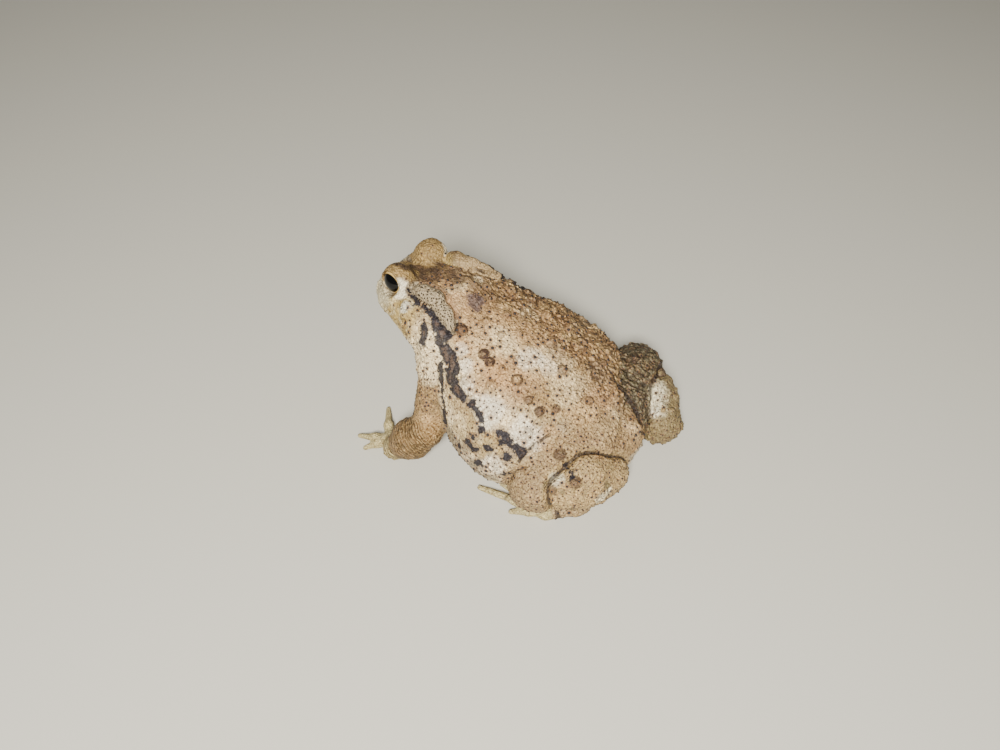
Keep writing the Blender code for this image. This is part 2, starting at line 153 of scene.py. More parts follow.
CENTRE = np.array((-0.15, 5.03, 0.0))
FAR = 9.0
STEP = 0.46
SKIN_TRIANGLES = 186000
BOX_LOW = (-42, -48, -1)
BOX_HIGH = (46, 60, 56)
SIDES = {"left": 1, "right": -1}

HEAD_MIDDLE = np.array((-0.5, -34.1, 47.3))
HEAD_TURN = -4.0
HEAD_NOD = 13.0
HEAD_TILT = -3.0
EYE = np.array((7.7, 0.0, 0.0))
EYEBALL_RADIUS = 4.4
HEAD_BLEND = 7.0

# Stations: along, centre, half width, lowest, widest level, highest, squareness
HEAD_STATIONS = (
    (-10.2, 0.0, 8.6, -11.0, -6.0, -3.4, 2.4),
    (-7.0, 0.0, 11.4, -12.9, -6.8, -2.0, 2.5),
    (-2.0, 0.0, 13.8, -14.8, -7.6, -0.6, 2.6),
    (3.0, 0.0, 15.4, -16.6, -8.4, 0.0, 2.6),
    (9.0, 0.0, 17.0, -18.4, -9.8, -0.8, 2.4),
    (15.0, 0.0, 18.0, -20.4, -11.6, -3.4, 2.3),
)
HEAD_CAPS = (2.8, 6.0)
TRUNK_STATIONS = (
    (-20.0, 0.0, 18.6, 17.5, 32.5, 46.0, 2.2),
    (-12.0, 0.4, 22.5, 9.5, 25.0, 45.6, 2.2),
    (-2.0, 1.2, 29.0, 1.5, 16.5, 43.6, 2.1),
    (8.0, 1.6, 32.4, -1.6, 13.5, 40.4, 2.1),
    (18.0, 1.4, 31.6, -2.2, 12.5, 36.6, 2.1),
    (28.0, 1.0, 27.6, -2.2, 12.5, 31.6, 2.1),
    (37.0, 0.4, 21.5, -0.8, 12.0, 26.0, 2.1),
    (43.0, 0.0, 14.8, 2.5, 12.0, 21.0, 2.1),
)
TRUNK_CAPS = (6.0, 5.2)


def unit(way):
    return way / np.linalg.norm(way)


EYE_AXIS = unit(np.array((0.97, -0.12, 0.13)))


def smooth_min(a, b, blend):
    """The nearer of two surfaces, rounded where they meet over a width of blend."""
    if blend <= 0:
        return np.minimum(a, b)
    lap = np.maximum(blend - np.abs(a - b), 0) / blend
    return np.minimum(a, b) - lap * lap * blend / 4


def smooth_max(a, b, blend):
    return -smooth_min(-a, -b, blend)


def through(keys, values, where):
    """A smooth curve through the values at the keys, level past both ends."""
    slope = np.gradient(values, keys)
    where = np.clip(where, keys[0], keys[-1])
    i = np.clip(np.searchsorted(keys, where) - 1, 0, len(keys) - 2)
    width = keys[i + 1] - keys[i]
    t = (where - keys[i]) / width
    return (
        values[i] * (2 * t**3 - 3 * t**2 + 1)
        + slope[i] * width * (t**3 - 2 * t**2 + t)
        + values[i + 1] * (3 * t**2 - 2 * t**3)
        + slope[i + 1] * width * (t**3 - t**2)
    )


class Loft:
    """A body drawn through oval stations along Y, with rounded ends."""

    def __init__(self, stations, caps):
        self.table = np.array(stations, float)
        self.caps = caps

    def level(self, x, y, z):
        """Zero on the surface, negative inside, growing outwards."""
        keys = self.table[:, 0]
        centre, width, low, middle, high, power = (
            through(keys, self.table[:, k], y) for k in range(1, 7)
        )
        reach = np.where(z > middle, high - middle, middle - low)
        ring = (np.abs(x - centre) / width) ** power + (np.abs(z - middle) / reach) ** power
        front = np.maximum(keys[0] - y, 0) / self.caps[0]
        back = np.maximum(y - keys[-1], 0) / self.caps[1]
        return np.sqrt(ring ** (2 / power) + front**2 + back**2) - 1


def outward(level, start, way, far=60.0):
    """Where a ray from inside a form meets its surface."""
    start, way = np.asarray(start, float), unit(np.asarray(way, float))
    near = 0.0
    for _ in range(40):
        middle = (near + far) / 2
        if level(*(start + way * middle)) < 0:
            near = middle
        else:
            far = middle
    return start + way * near


def frame_on(level, place):
    """Axes at a place on a surface: straight out of it, along it to the rear, and along it upwards."""
    steps = np.eye(3) * 0.05
    out = np.array([level(*(place + step)) - level(*(place - step)) for step in steps])
    out = unit(out)
    rear = unit(np.cross((0, 0, 1), out))
    return np.stack((out, rear, np.cross(out, rear)), axis=1)


def rotation(turn, nod, tilt):
    """Turn about the upright, then nod about the crosswise and tilt about the lengthwise axis."""
    a, b, c = np.radians((turn, nod, tilt))
    about_z = np.array(((np.cos(a), -np.sin(a), 0), (np.sin(a), np.cos(a), 0), (0, 0, 1)))
    about_x = np.array(((1, 0, 0), (0, np.cos(b), -np.sin(b)), (0, np.sin(b), np.cos(b))))
    about_y = np.array(((np.cos(c), 0, np.sin(c)), (0, 1, 0), (-np.sin(c), 0, np.cos(c))))
    return about_z @ about_x @ about_y


HEAD = Loft(HEAD_STATIONS, HEAD_CAPS)
TRUNK = Loft(TRUNK_STATIONS, TRUNK_CAPS)
HEAD_FRAME = rotation(HEAD_TURN, HEAD_NOD, HEAD_TILT)


def from_head(point):
    """A point of the head's own frame, in the toad's frame."""
    return HEAD_FRAME @ np.asarray(point, float) + HEAD_MIDDLE


def into_head(x, y, z):
    """Places in the toad's frame, in the head's own frame."""
    p = (x - HEAD_MIDDLE[0], y - HEAD_MIDDLE[1], z - HEAD_MIDDLE[2])
    return [sum(HEAD_FRAME[i, k] * p[i] for i in range(3)) for k in range(3)]


def mirrored(point, side):
    return np.asarray(point, float) * (side, 1, 1)


def ellipsoid(centre, radii, frame=None):
    """A ball drawn out along three axes, which are the columns of its frame."""
    centre, radii = np.asarray(centre, float), np.asarray(radii, float)
    axes = np.eye(3) if frame is None else frame.T

    def distance(x, y, z):
        p = (x - centre[0], y - centre[1], z - centre[2])
        local = [a[0] * p[0] + a[1] * p[1] + a[2] * p[2] for a in axes]
        near = np.sqrt(sum((v / r) ** 2 for v, r in zip(local, radii)))
        rate = np.sqrt(sum((v / r**2) ** 2 for v, r in zip(local, radii)))
        return near * (near - 1) / np.maximum(rate, 1e-6)

    reach = np.sqrt(((axes * radii[:, None]) ** 2).sum(0))
    return distance, centre - reach, centre + reach


def limb(points, radii, blend=1.5):
    """A soft tube through the points, tapering between the radii given there, or all of one radius."""
    points = np.asarray(points, float)
    radii = np.broadcast_to(np.asarray(radii, float), len(points))

    def distance(x, y, z):
        made = None
        for a, b, ra, rb in zip(points, points[1:], radii, radii[1:]):
            axis = b - a
            p = (x - a[0], y - a[1], z - a[2])
            t = (p[0] * axis[0] + p[1] * axis[1] + p[2] * axis[2]) / (axis @ axis)
            t = np.clip(t, 0, 1)
            away = sum((v - t * d) ** 2 for v, d in zip(p, axis))
            piece = np.sqrt(away) - (ra + (rb - ra) * t)
            made = piece if made is None else smooth_min(made, piece, blend)
        return made

    low = (points - radii[:, None]).min(0)
    high = (points + radii[:, None]).max(0)
    return distance, low, high


class Clay:
    """A box of space on a grid, holding a field of distances for each part of the body."""

    def __init__(self, low, high, step):
        self.step = step
        spans = [np.arange(np.floor(a / step), np.ceil(b / step) + 1) for a, b in zip(low, high)]
        self.lines = [((span + 0.5) * step).astype(np.float32) for span in spans]
        self.shape = tuple(len(line) for line in self.lines)
        self.fields = {}

    def place(self, cut=(slice(None),) * 3):
        x, y, z = (line[c] for line, c in zip(self.lines, cut))
        return x[:, None, None], y[None, :, None], z[None, None, :]

    def window(self, low, high, margin):
        cut = []
        for line, a, b in zip(self.lines, low, high):
            first, last = np.searchsorted(line, (a - margin, b + margin))
            cut.append(slice(first, last))
        return tuple(cut)

    def press(self, name, shape, blend=0.0, carve=False, margin=FAR):
        """Fuses a shape into a part, or takes it out of the part."""
        distance, low, high = shape
        field = self.fields.setdefault(name, np.full(self.shape, FAR, np.float32))
        cut = self.window(low, high, margin)
        new = distance(*self.place(cut)).astype(np.float32)
        join = smooth_max if carve else smooth_min
        field[cut] = join(field[cut], -new if carve else new, blend)

    def rim(self, name, surface, shape, radius, blend):
        """Lays a thin roll along the line where a shape crosses a surface."""
        distance, low, high = shape
        cut = self.window(low, high, FAR / 3)
        new = distance(*self.place(cut)).astype(np.float32)
        roll = np.hypot(new, surface[cut]) - radius
        field = self.fields[name]
        field[cut] = smooth_min(field[cut], roll, blend)

    def press_level(self, name, level):
        """Starts a part from a level that is not a distance, divided by how fast it grows."""
        level = np.broadcast_to(level, self.shape).astype(np.float32)
        rate = np.sqrt(sum(g * g for g in np.gradient(level, self.step)))
        self.fields[name] = np.clip(level / np.maximum(rate, 1e-3), -FAR * 4, FAR).astype(np.float32)


LID = (7.5, 0.2, 0.2)
LID_RADII = (5.0, 5.4, 4.8)
CANTHUS = ((3.0, -10.2, -4.6), (5.4, -5.0, -1.4))
LIP_START = np.array((0.0, 1.0, -7.6))
LIP_DROP = -1.6
LIP_ANGLES = np.radians(np.linspace(0, 122, 12))
LIP_OPEN = 1.4
NOSTRIL = (3.2, -11.6, -4.6)
TYMPANUM = (8.0, -4.1)
PAROTOID = (
    (8.4, -28.8, 46.4),
    (8.7, -24.0, 47.5),
    (8.9, -20.0, 47.0),
    (10.7, -15.8, 45.3),
    (13.0, -12.2, 43.6),
)
PAROTOID_RADII = (1.9, 2.4, 2.6, 2.5, 1.9)


def lip_points(side, lower, depth):
    """Places along the mouth from its middle to its corner, so far below the lip line and so deep in."""
    points = []
    for angle in LIP_ANGLES:
        share = angle / LIP_ANGLES[-1]
        start = LIP_START + (0, 0, LIP_DROP * share**2 - lower)
        way = np.array((side * np.sin(angle), -np.cos(angle), 0))
        points.append(from_head(outward(HEAD.level, start, way) - way * depth))
    return points


def press_head(clay):
    clay.press_level("head", HEAD.level(*into_head(*clay.place())))
    for name, side in SIDES.items():
        clay.press(f"lid_{name}", ellipsoid(from_head(mirrored(LID, side)), LID_RADII, HEAD_FRAME))
        clay.press("head", limb([from_head(mirrored(p, side)) for p in CANTHUS], (1.5, 1.9)), 2.0)
        for lower, depth, radius, blend in ((0.0, 0.4, 1.1, 1.2), (2 * LIP_OPEN + 0.3, 0.9, 1.3, 1.4)):
            clay.press("head", limb(lip_points(side, lower, depth), radius, 0.2), blend)
        clay.press("head", limb(lip_points(side, LIP_OPEN, 0.0), 0.35, 0.1), 0.4, carve=True)
        nostril = ellipsoid(from_head(mirrored(NOSTRIL, side)), (0.6, 0.8, 0.6), HEAD_FRAME)
        clay.press("head", nostril, 0.4, carve=True)
        ear = outward(HEAD.level, (0, *TYMPANUM), (side, 0, 0))
        axes = frame_on(HEAD.level, ear)
        clay.press("head", ellipsoid(from_head(ear), (0.8, 2.1, 3.1), HEAD_FRAME @ axes), 0.6)
        dish = ellipsoid(from_head(ear + axes[:, 0] * 1.2), (1.0, 1.6, 2.6), HEAD_FRAME @ axes)
        clay.press("head", dish, 0.3, carve=True)


def gland_spine(side):
    return [mirrored(p, side) + (HEAD_MIDDLE[0], 0, 0) for p in PAROTOID]


def gland_form(side):
    return limb(gland_spine(side), PAROTOID_RADII, 2.0)


ARMS = {
    "left": {
        "shoulder": (17.5, -14.5, 26.0),
        "elbow": (30.9, -10.8, 13.5),
        "wrist": (35.8, -19.9, 4.5),
        "palm": (33.8, -24.0, 2.5),
        "fingers": ((28.6, -20.2), (22.8, -33.4), (36.8, -34.8), (39.8, -30.2)),
    },
    "right": {
        "shoulder": (-17.5, -14.5, 26.0),
        "elbow": (-28.5, -6.0, 13.0),
        "wrist": (-33.5, -22.5, 4.6),
        "palm": (-32.0, -26.5, 2.4),
        "fingers": ((-23.0, -31.5), (-28.0, -37.0), (-35.5, -37.0), (-40.0, -30.5)),
    },
}
LEGS = {
    "left": {
        "thigh": ((8.7, 35.8, 15.0), (17.8, 30.6, 14.6), (28.2, 27.6, 11.4)),
        "shank": ((26.4, 34.2, 12.9), (20.8, 38.2, 13.6), (14.0, 43.2, 11.6)),
        "foot": ((13.4, 43.8, 5.0), (23.6, 39.4, 2.7), (30.4, 32.4, 2.2)),
        "toes": ((22.6, 24.0), (24.8, 19.5), (28.0, 15.0), (32.9, 10.0), (35.2, 22.8)),
    },
    "right": {
        "thigh": ((-9.4, 37.7, 14.8), (-18.9, 36.4, 14.6), (-28.0, 33.8, 11.8)),
        "shank": ((-23.6, 35.6, 12.4), (-18.6, 42.1, 12.6), (-13.0, 49.2, 10.6)),
        "foot": ((-15.0, 51.6, 4.4), (-25.8, 46.6, 2.7), (-32.0, 39.4, 2.2)),
        "toes": ((-25.0, 28.0), (-27.0, 23.0), (-30.5, 18.5), (-35.8, 14.5), (-38.6, 27.0)),
    },
}
LEG_RADII = {"thigh": (9.4, 9.2, 8.5), "shank": (6.6, 8.4, 6.8), "foot": (3.4, 2.9, 2.6)}
ARM_RADII = {"upper_arm": (6.2, 4.5), "forearm": (5.0, 6.1, 4.1), "hand": (3.2, 2.8)}
FINGER = (1.9, 1.35, 0.75)
TOE = (1.6, 1.25, 0.8)
KNUCKLE = 0.45
KNUCKLE_OUT = 0.5
KNUCKLE_RISE = 0.9
WEB_REACH = 0.5
WEB_RADIUS = 0.55


def digit_points(root, tip, radii):
    """A digit rises a little from the hand or foot and comes down on its tip."""
    end = np.array((*tip, radii[2]))
    bow = np.array((np.sign(root[0]) * KNUCKLE_OUT, 0, KNUCKLE_RISE))
    return np.array((root, root + (end - root) * KNUCKLE + bow, end))


def press_digits(clay, name, root, tips, radii):
    for tip in tips:
        clay.press(name, limb(digit_points(root, tip, radii), radii), 1.2)


def press_webs(clay, name, root, tips):
    """Thin skin between neighbouring toes, out to part of their length."""
    for a, b in zip(tips, tips[1:]):
        ends = [digit_points(root, tip, TOE)[1] for tip in (a, b)]
        for share in (0.3, 0.55, 0.8, 1.0):
            span = [root + (end - root) * share * 2 * WEB_REACH - (0, 0, 0.5) for end in ends]
            clay.press(name, limb(span, WEB_RADIUS), 0.9)


def arm_limbs(side):
    arm = {k: np.array(v) for k, v in ARMS[side].items()}
    bulge = (arm["elbow"] + arm["wrist"]) / 2
    return {
        "upper_arm": limb((arm["shoulder"], arm["elbow"]), ARM_RADII["upper_arm"]),
        "forearm": limb((arm["elbow"], bulge, arm["wrist"]), ARM_RADII["forearm"], 2.0),
        "hand": limb((arm["wrist"], arm["palm"]), ARM_RADII["hand"]),
    }


def leg_limbs(side):
    return {part: limb(LEGS[side][part], radii, 3.0) for part, radii in LEG_RADII.items()}


def press_limbs(clay, side):
    for part, shape in {**arm_limbs(side), **leg_limbs(side)}.items():
        clay.press(f"{part}_{side}", shape)
    press_digits(clay, f"hand_{side}", np.array(ARMS[side]["palm"]), ARMS[side]["fingers"], FINGER)
    heel = np.array(LEGS[side]["foot"][-1])
    press_digits(clay, f"foot_{side}", heel, LEGS[side]["toes"], TOE)
    press_webs(clay, f"foot_{side}", heel, LEGS[side]["toes"])


# Warts of the back: along the trunk, angle from upright towards the left in degrees, radius, how
# strong the ring round each is, and how brown its top
WARTS = (
    (-8.8, 27.0, 1.7, 1.0, 0.7),
    (0.6, 27.0, 1.6, 1.0, 0.1),
    (3.2, 28.6, 1.4, 1.0, 0.1),
    (12.3, 29.0, 1.6, 0.8, 0.2),
    (21.2, 5.0, 1.6, 0.8, 0.3),
    (17.8, 37.0, 1.3, 0.7, 0.6),
    (21.8, 41.0, 1.4, 0.8, 1.0),
    (25.3, 35.0, 1.2, 0.7, 0.9),
    (1.6, 10.0, 1.1, 0.5, 0.1),
    (7.1, 27.5, 1.1, 0.4, 0.2),
    (34.5, 2.0, 1.2, 0.5, 0.4),
    (31.6, 14.0, 1.3, 0.6, 0.4),
    (15.1, -31.0, 2.0, 0.3, 0.1),
    (1.0, -28.0, 2.0, 0.3, 0.1),
    (-11.0, 3.0, 1.6, 0.2, 0.2),
)
WART_SEED = 4
WART_COUNT = 46
WART_SPACING = 5.0
WART_SUNK = 0.35
# How strong the ring is, and how brown the top, of the warts that are not in the table
DRAWN_WART_LOOK = (0.25, 0.2)
LEG_WART_LOOK = (0.8, 0.0)
# Room left round a small shape that is pressed in or carved out
SMALL_MARGIN = 2.0

# Warts of the left leg, mirrored on the right: part, place, radius
LEG_WARTS = (
    ("thigh", (22.9, 31.8, 23.9), 1.7),
    ("shank", (26.9, 39.3, 20.2), 1.7),
    ("shank", (30.9, 34.2, 17.7), 1.5),
)


def trunk_place(along, angle):
    """A place on the trunk and the way out of it there."""
    table = TRUNK.table
    centre, middle = (float(through(table[:, 0], table[:, k], np.array(along))) for k in (1, 4))
    way = np.array((np.sin(np.radians(angle)), 0, np.cos(np.radians(angle))))
    return outward(TRUNK.level, (centre, along, middle), way), way


def wart_places():
    """The named warts of the back, and smaller ones drawn between them, most on the right side."""
    draw = np.random.default_rng(WART_SEED)
    made = [(*trunk_place(along, angle), radius) for along, angle, radius, _, _ in WARTS]
    while len(made) < WART_COUNT:
        place, way = trunk_place(draw.uniform(-11, 37), draw.triangular(-80, -35, 60))
        radius = draw.uniform(1.1, 1.7)
        if min(np.linalg.norm(place - other) for other, _, _ in made) > WART_SPACING:
            made.append((place, way, radius))
    return made


def leg_wart_places(side):
    """Warts on the surface of the leg, nearest to the places named for the left one."""
    shift = np.array(LEGS[side]["shank"][1]) - mirrored(LEGS["left"]["shank"][1], SIDES[side])
    for part, place, radius in LEG_WARTS:
        points = np.array(LEGS[side][part])
        place = mirrored(place, SIDES[side]) + shift
        ends = [a + (b - a) * t for a, b in zip(points, points[1:]) for t in np.linspace(0, 1, 9)]
        start = min(ends, key=lambda end: np.linalg.norm(end - place))
        way = place - start
        yield outward(limb(points, LEG_RADII[part], 3.0)[0], start, way), way, radius, f"{part}_{side}"


# How each kind of part joins the body: blend, how much it swells, depth and width of the crease round
# it, and how far back the crease runs. The crease is also darkened in the colour as painted shade.
JOINS = (
    ("lid", 2.4, 0.0, 0.0, 1.0, 60.0),
    ("parotoid", 0.6, 0.25, 0.55, 0.9, 60.0),
    ("upper_arm", 4.5, 0.0, 0.0, 1.0, 60.0),
    ("forearm", 2.0, 0.0, 0.15, 1.0, 60.0),
    ("hand", 1.2, 0.0, 0.0, 1.0, 60.0),
    ("thigh", 1.6, 0.2, 0.8, 1.0, 22.0),
    ("shank", 0.3, 0.4, 1.0, 1.3, 60.0),
    ("foot", 0.4, 0.0, 0.60, 1.0, 60.0),
)

# Single deep creases, carved in and darkened with painted shade: radius, then places along each, from
# the left groin along the top of the thigh, between rump and right leg, and below the right gland
CREASES = (
    (
        0.35,
        (
            (20.4, 27.2, 27.5),
            (22.2, 26.1, 26.6),
            (24.9, 24.4, 25.3),
            (27.5, 22.9, 23.4),
            (29.8, 22.0, 21.0),
        ),
    ),
    (
        0.5,
        (
            (-9.5, 31.0, 28.0),
            (-8.3, 33.9, 27.1),
            (-6.5, 36.4, 26.0),
            (-6.0, 38.9, 24.8),
            (-5.5, 41.0, 23.2),
            (-4.5, 43.9, 20.8),
            (-3.0, 46.5, 18.7),
            (-2.2, 47.7, 15.7),
        ),
    ),
    (0.4, ((-8.3, -17.3, 48.2), (-9.7, -14.5, 47.2), (-11.2, -12.7, 46.2), (-13.6, -12.0, 45.4))),
)


def sculpt():
    """The whole toad as one field, and the places and radii of its big warts."""
    clay = Clay(BOX_LOW, BOX_HIGH, STEP)
    clay.press_level("torso", TRUNK.level(*clay.place()))
    press_head(clay)
    for side, sign in SIDES.items():
        clay.press(f"parotoid_{side}", gland_form(sign))
        press_limbs(clay, side)
    warts = [(*wart, "torso") for wart in wart_places()]
    for side in SIDES:
        warts += leg_wart_places(side)
    for place, way, radius, name in warts:
        sunk = place - unit(way) * radius * WART_SUNK
        clay.press(name, ellipsoid(sunk, (radius,) * 3), 0.8, margin=SMALL_MARGIN)
    body = smooth_min(clay.fields["torso"], clay.fields["head"], HEAD_BLEND)
    crease_shade = np.zeros_like(body)
    for kind, blend, swell, depth, width, rear in JOINS:
        depth = depth * soft(clay.place()[1] - rear, 7.0)
        for side in SIDES:
            part = clay.fields.pop(f"{kind}_{side}") - np.float32(swell)
            apart = np.abs(body - part)
            # How deep each crease is, kept to darken it in the skin's colour as painted shade
            crease_shade = np.maximum(crease_shade, depth * soft(apart, 0.75 * width)).astype(np.float32)
            body = (smooth_min(body, part, blend) + depth * soft(apart, width)).astype(np.float32)
    clay.fields = {"body": body, "crease_shade": crease_shade}
    for radius, points in CREASES:
        clay.press("body", limb(points, radius, 0.1), 0.8, carve=True, margin=SMALL_MARGIN)
    for sign in SIDES.values():
        open_eye(clay, sign)
    clay.fields["body"] = np.maximum(clay.fields["body"], -clay.place()[2])
    return clay, [(place, radius) for place, _, radius, _ in warts]


SLIT_OUT = 5.4
SLIT_RADII = (4.6, 5.0, 4.4)
LID_ROLL = 0.3


def open_eye(clay, sign):
    """Cuts the slit between the lids, rolls their edges, and hollows out the eyeball's socket."""
    surface = clay.fields["body"].copy()
    slit = ellipsoid(from_head(mirrored(EYE + EYE_AXIS * SLIT_OUT, sign)), SLIT_RADII, HEAD_FRAME)
    clay.press("body", slit, 0.5, carve=True, margin=SMALL_MARGIN)
    clay.rim("body", surface, slit, LID_ROLL, 0.3)
    ball = ellipsoid(from_head(mirrored(EYE, sign)), (EYEBALL_RADIUS - 0.05,) * 3)
    clay.press("body", ball, 0.0, carve=True, margin=SMALL_MARGIN)


def surface_of(clay):
    """The skin where the field is zero, as points in millimetres and four-sided faces."""
    grid = openvdb.FloatGrid(background=FAR)
    grid.copyFromArray(np.pad(clay.fields["body"], 1, constant_values=FAR).astype(np.float32))
    points, quads = grid.convertToQuads(isovalue=0.0)
    return (points - 1) * clay.step + [line[0] for line in clay.lines], quads


def sample(clay, name, points):
    """The value of a field at each point, drawn smoothly between the cells of its grid."""
    where = (points - [line[0] for line in clay.lines]) / clay.step
    cell = np.clip(np.floor(where).astype(int), 0, np.array(clay.shape) - 2)
    t = where - cell
    total = 0.0
    for corner in np.ndindex(2, 2, 2):
        weight = np.prod(np.where(corner, t, 1 - t), axis=1)
        total = total + weight * clay.fields[name][tuple((cell + corner).T)]
    return total


# Large odd numbers that scramble the three places of a cell, its seed, and their sum
CELL_PRIMES = (73856093, 19349663, 83492791)
SEED_PRIME = 668265263
SUM_PRIME = 1274126177
SEED_SHIFT = 17.3


def lattice(cell, seed):
    """A steady random share for each whole-numbered cell of space."""
    n = (cell.astype(np.int64) * CELL_PRIMES).sum(-1) + seed * SEED_PRIME
    n = (n ^ (n >> 13)) * SUM_PRIME & 0x7FFFFFFF
    return ((n ^ (n >> 16)) & 0xFFFF) / 65535.0


def clouds(points, size, seed):
    """Soft random patches about so many millimetres across, from 0 to 1."""
    where = points / size + seed * SEED_SHIFT
    cell = np.floor(where)
    t = where - cell
    t = t * t * (3 - 2 * t)
    total = 0.0
    for corner in np.ndindex(2, 2, 2):
        weight = np.prod(np.where(corner, t, 1 - t), axis=1)
        total = total + weight * lattice(cell + corner, seed)
    return total


def soft(distance, edge):
    """One inside a border, falling smoothly to zero over the edge outside it."""
    t = np.clip(1 - distance / edge, 0, 1)
    return t * t * (3 - 2 * t)


def away_from(place, points, scale=1.0):
    """How far each point lies from a place, with its three directions scaled."""
    return np.linalg.norm((points - place) * scale, axis=1)


def trunk_angles(points):
    """Angle of each point about the trunk's middle line, from upright towards the left, in degrees."""
    centre, middle = (through(TRUNK.table[:, 0], TRUNK.table[:, k], points[:, 1]) for k in (1, 4))
    return np.degrees(np.arctan2(points[:, 0] - centre, points[:, 2] - middle))


def spread(points, spacing, seed):
    """Picks points so that no two are nearer than the spacing given for each."""
    order = np.random.default_rng(seed).permutation(len(points))
    size = float(spacing.max())
    boxes, picked = {}, []
    cells = np.floor(points / size).astype(int)
    for i in order:
        x, y, z = cells[i]
        p, room = points[i], spacing[i]
        near = [j for dx in (-1, 0, 1) for dy in (-1, 0, 1) for dz in (-1, 0, 1)
                for j in boxes.get((x + dx, y + dy, z + dz), ())]
        if not near or ((points[near] - p) ** 2).sum(1).min() > room * room:
            boxes.setdefault((x, y, z), []).append(i)
            picked.append(i)
    return np.array(picked)


def nearest(points, places):
    """For each point, the distance to the nearest place and which one it is."""
    tree = KDTree(len(places))
    for i, place in enumerate(places):
        tree.insert(place, i)
    tree.balance()
    found = [tree.find(p)[1:] for p in points.tolist()]
    which, away = zip(*found)
    return np.array(away), np.array(which)


# The smooth upper edge of the left gland
GLAND_TOP = (
    (5.7, -26.6, 48.7),
    (4.9, -23.5, 48.8),
    (4.6, -21.2, 48.8),
    (5.2, -18.7, 48.2),
    (6.6, -16.0, 47.8),
    (8.2, -13.9, 47.1),
    (9.9, -12.1, 45.8),
)


# Rough half width of the trunk, which turns its level into millimetres
TRUNK_REACH = 20


class Regions:
    """How far each point belongs to each part of the body, from 0 to 1."""

    def __init__(self, points, out):
        self.points, self.out = points, out
        x, y, z = points.T
        self.head = into_head(x, y, z)
        self.angle = trunk_angles(points)
        self.along = y
        self.near = {}
        for side in SIDES:
            for part, shape in {**arm_limbs(side), **leg_limbs(side)}.items():
                self.near[f"{part}_{side}"] = shape[0](x, y, z)
            palm, heel = np.array(ARMS[side]["palm"]), np.array(LEGS[side]["foot"][-1])
            digits = [(palm, tip, FINGER) for tip in ARMS[side]["fingers"]]
            digits += [(heel, tip, TOE) for tip in LEGS[side]["toes"]]
            away = [limb(digit_points(*digit), digit[2])[0](x, y, z) for digit in digits]
            self.near[f"digits_{side}"] = np.min(away, axis=0)
        self.body = TRUNK.level(x, y, z) * TRUNK_REACH
        self.glands = np.min([gland_form(sign)[0](x, y, z) for sign in SIDES.values()], axis=0)
        self.gland = soft(self.glands - 0.65, 0.5)
        self.rim = soft(limb(GLAND_TOP, 0.7)[0](x, y, z), 0.7)

    def part(self, *kinds, edge=1.6, out=1.0):
        """How far each point belongs to parts of these kinds, whose forms lie up to so far below the skin."""
        near = [self.near[f"{kind}_{side}"] for kind in kinds for side in SIDES]
        return soft(np.min(near, axis=0) - out, edge)


BACK = (0.72, 0.485, 0.205)
CREAM = (0.90, 0.73, 0.43)
WHITE = (0.92, 0.82, 0.60)
WARM = (0.255, 0.16, 0.068)
RUST = (0.36, 0.195, 0.075)
PINK = (0.50, 0.30, 0.135)
ORANGE = (0.60, 0.345, 0.135)
GREY = (0.26, 0.185, 0.11)
NAPE = (0.075, 0.043, 0.021)
PURPLE = (0.095, 0.065, 0.068)
TAN = (0.40, 0.27, 0.095)
BELLY = (0.66, 0.54, 0.34)
HEAD_TAN = (0.105, 0.058, 0.022)
HEAD_DARK = (0.045, 0.024, 0.011)
BROW = (0.36, 0.235, 0.08)
PALE_LID = (0.90, 0.80, 0.55)
CHEEK = (0.27, 0.18, 0.055)
CHEEK_SPOT = (0.70, 0.51, 0.18)
SNOUT = (0.68, 0.60, 0.38)
EAR = (0.66, 0.61, 0.44)
GLAND = (0.40, 0.315, 0.185)
GLAND_CREASE_SHADE = (0.07, 0.032, 0.013)
GLAND_RIM = (0.25, 0.145, 0.065)
RIGHT_GLAND = (0.42, 0.29, 0.135)
ARM = (0.215, 0.14, 0.055)
ELBOW = (0.56, 0.36, 0.15)
LEG = (0.36, 0.24, 0.105)
OLIVE = (0.075, 0.056, 0.02)
DULL = (0.15, 0.125, 0.07)
SHANK = (0.25, 0.185, 0.08)
PALE_SHANK = (0.84, 0.76, 0.50)
DIGIT = (0.50, 0.41, 0.19)

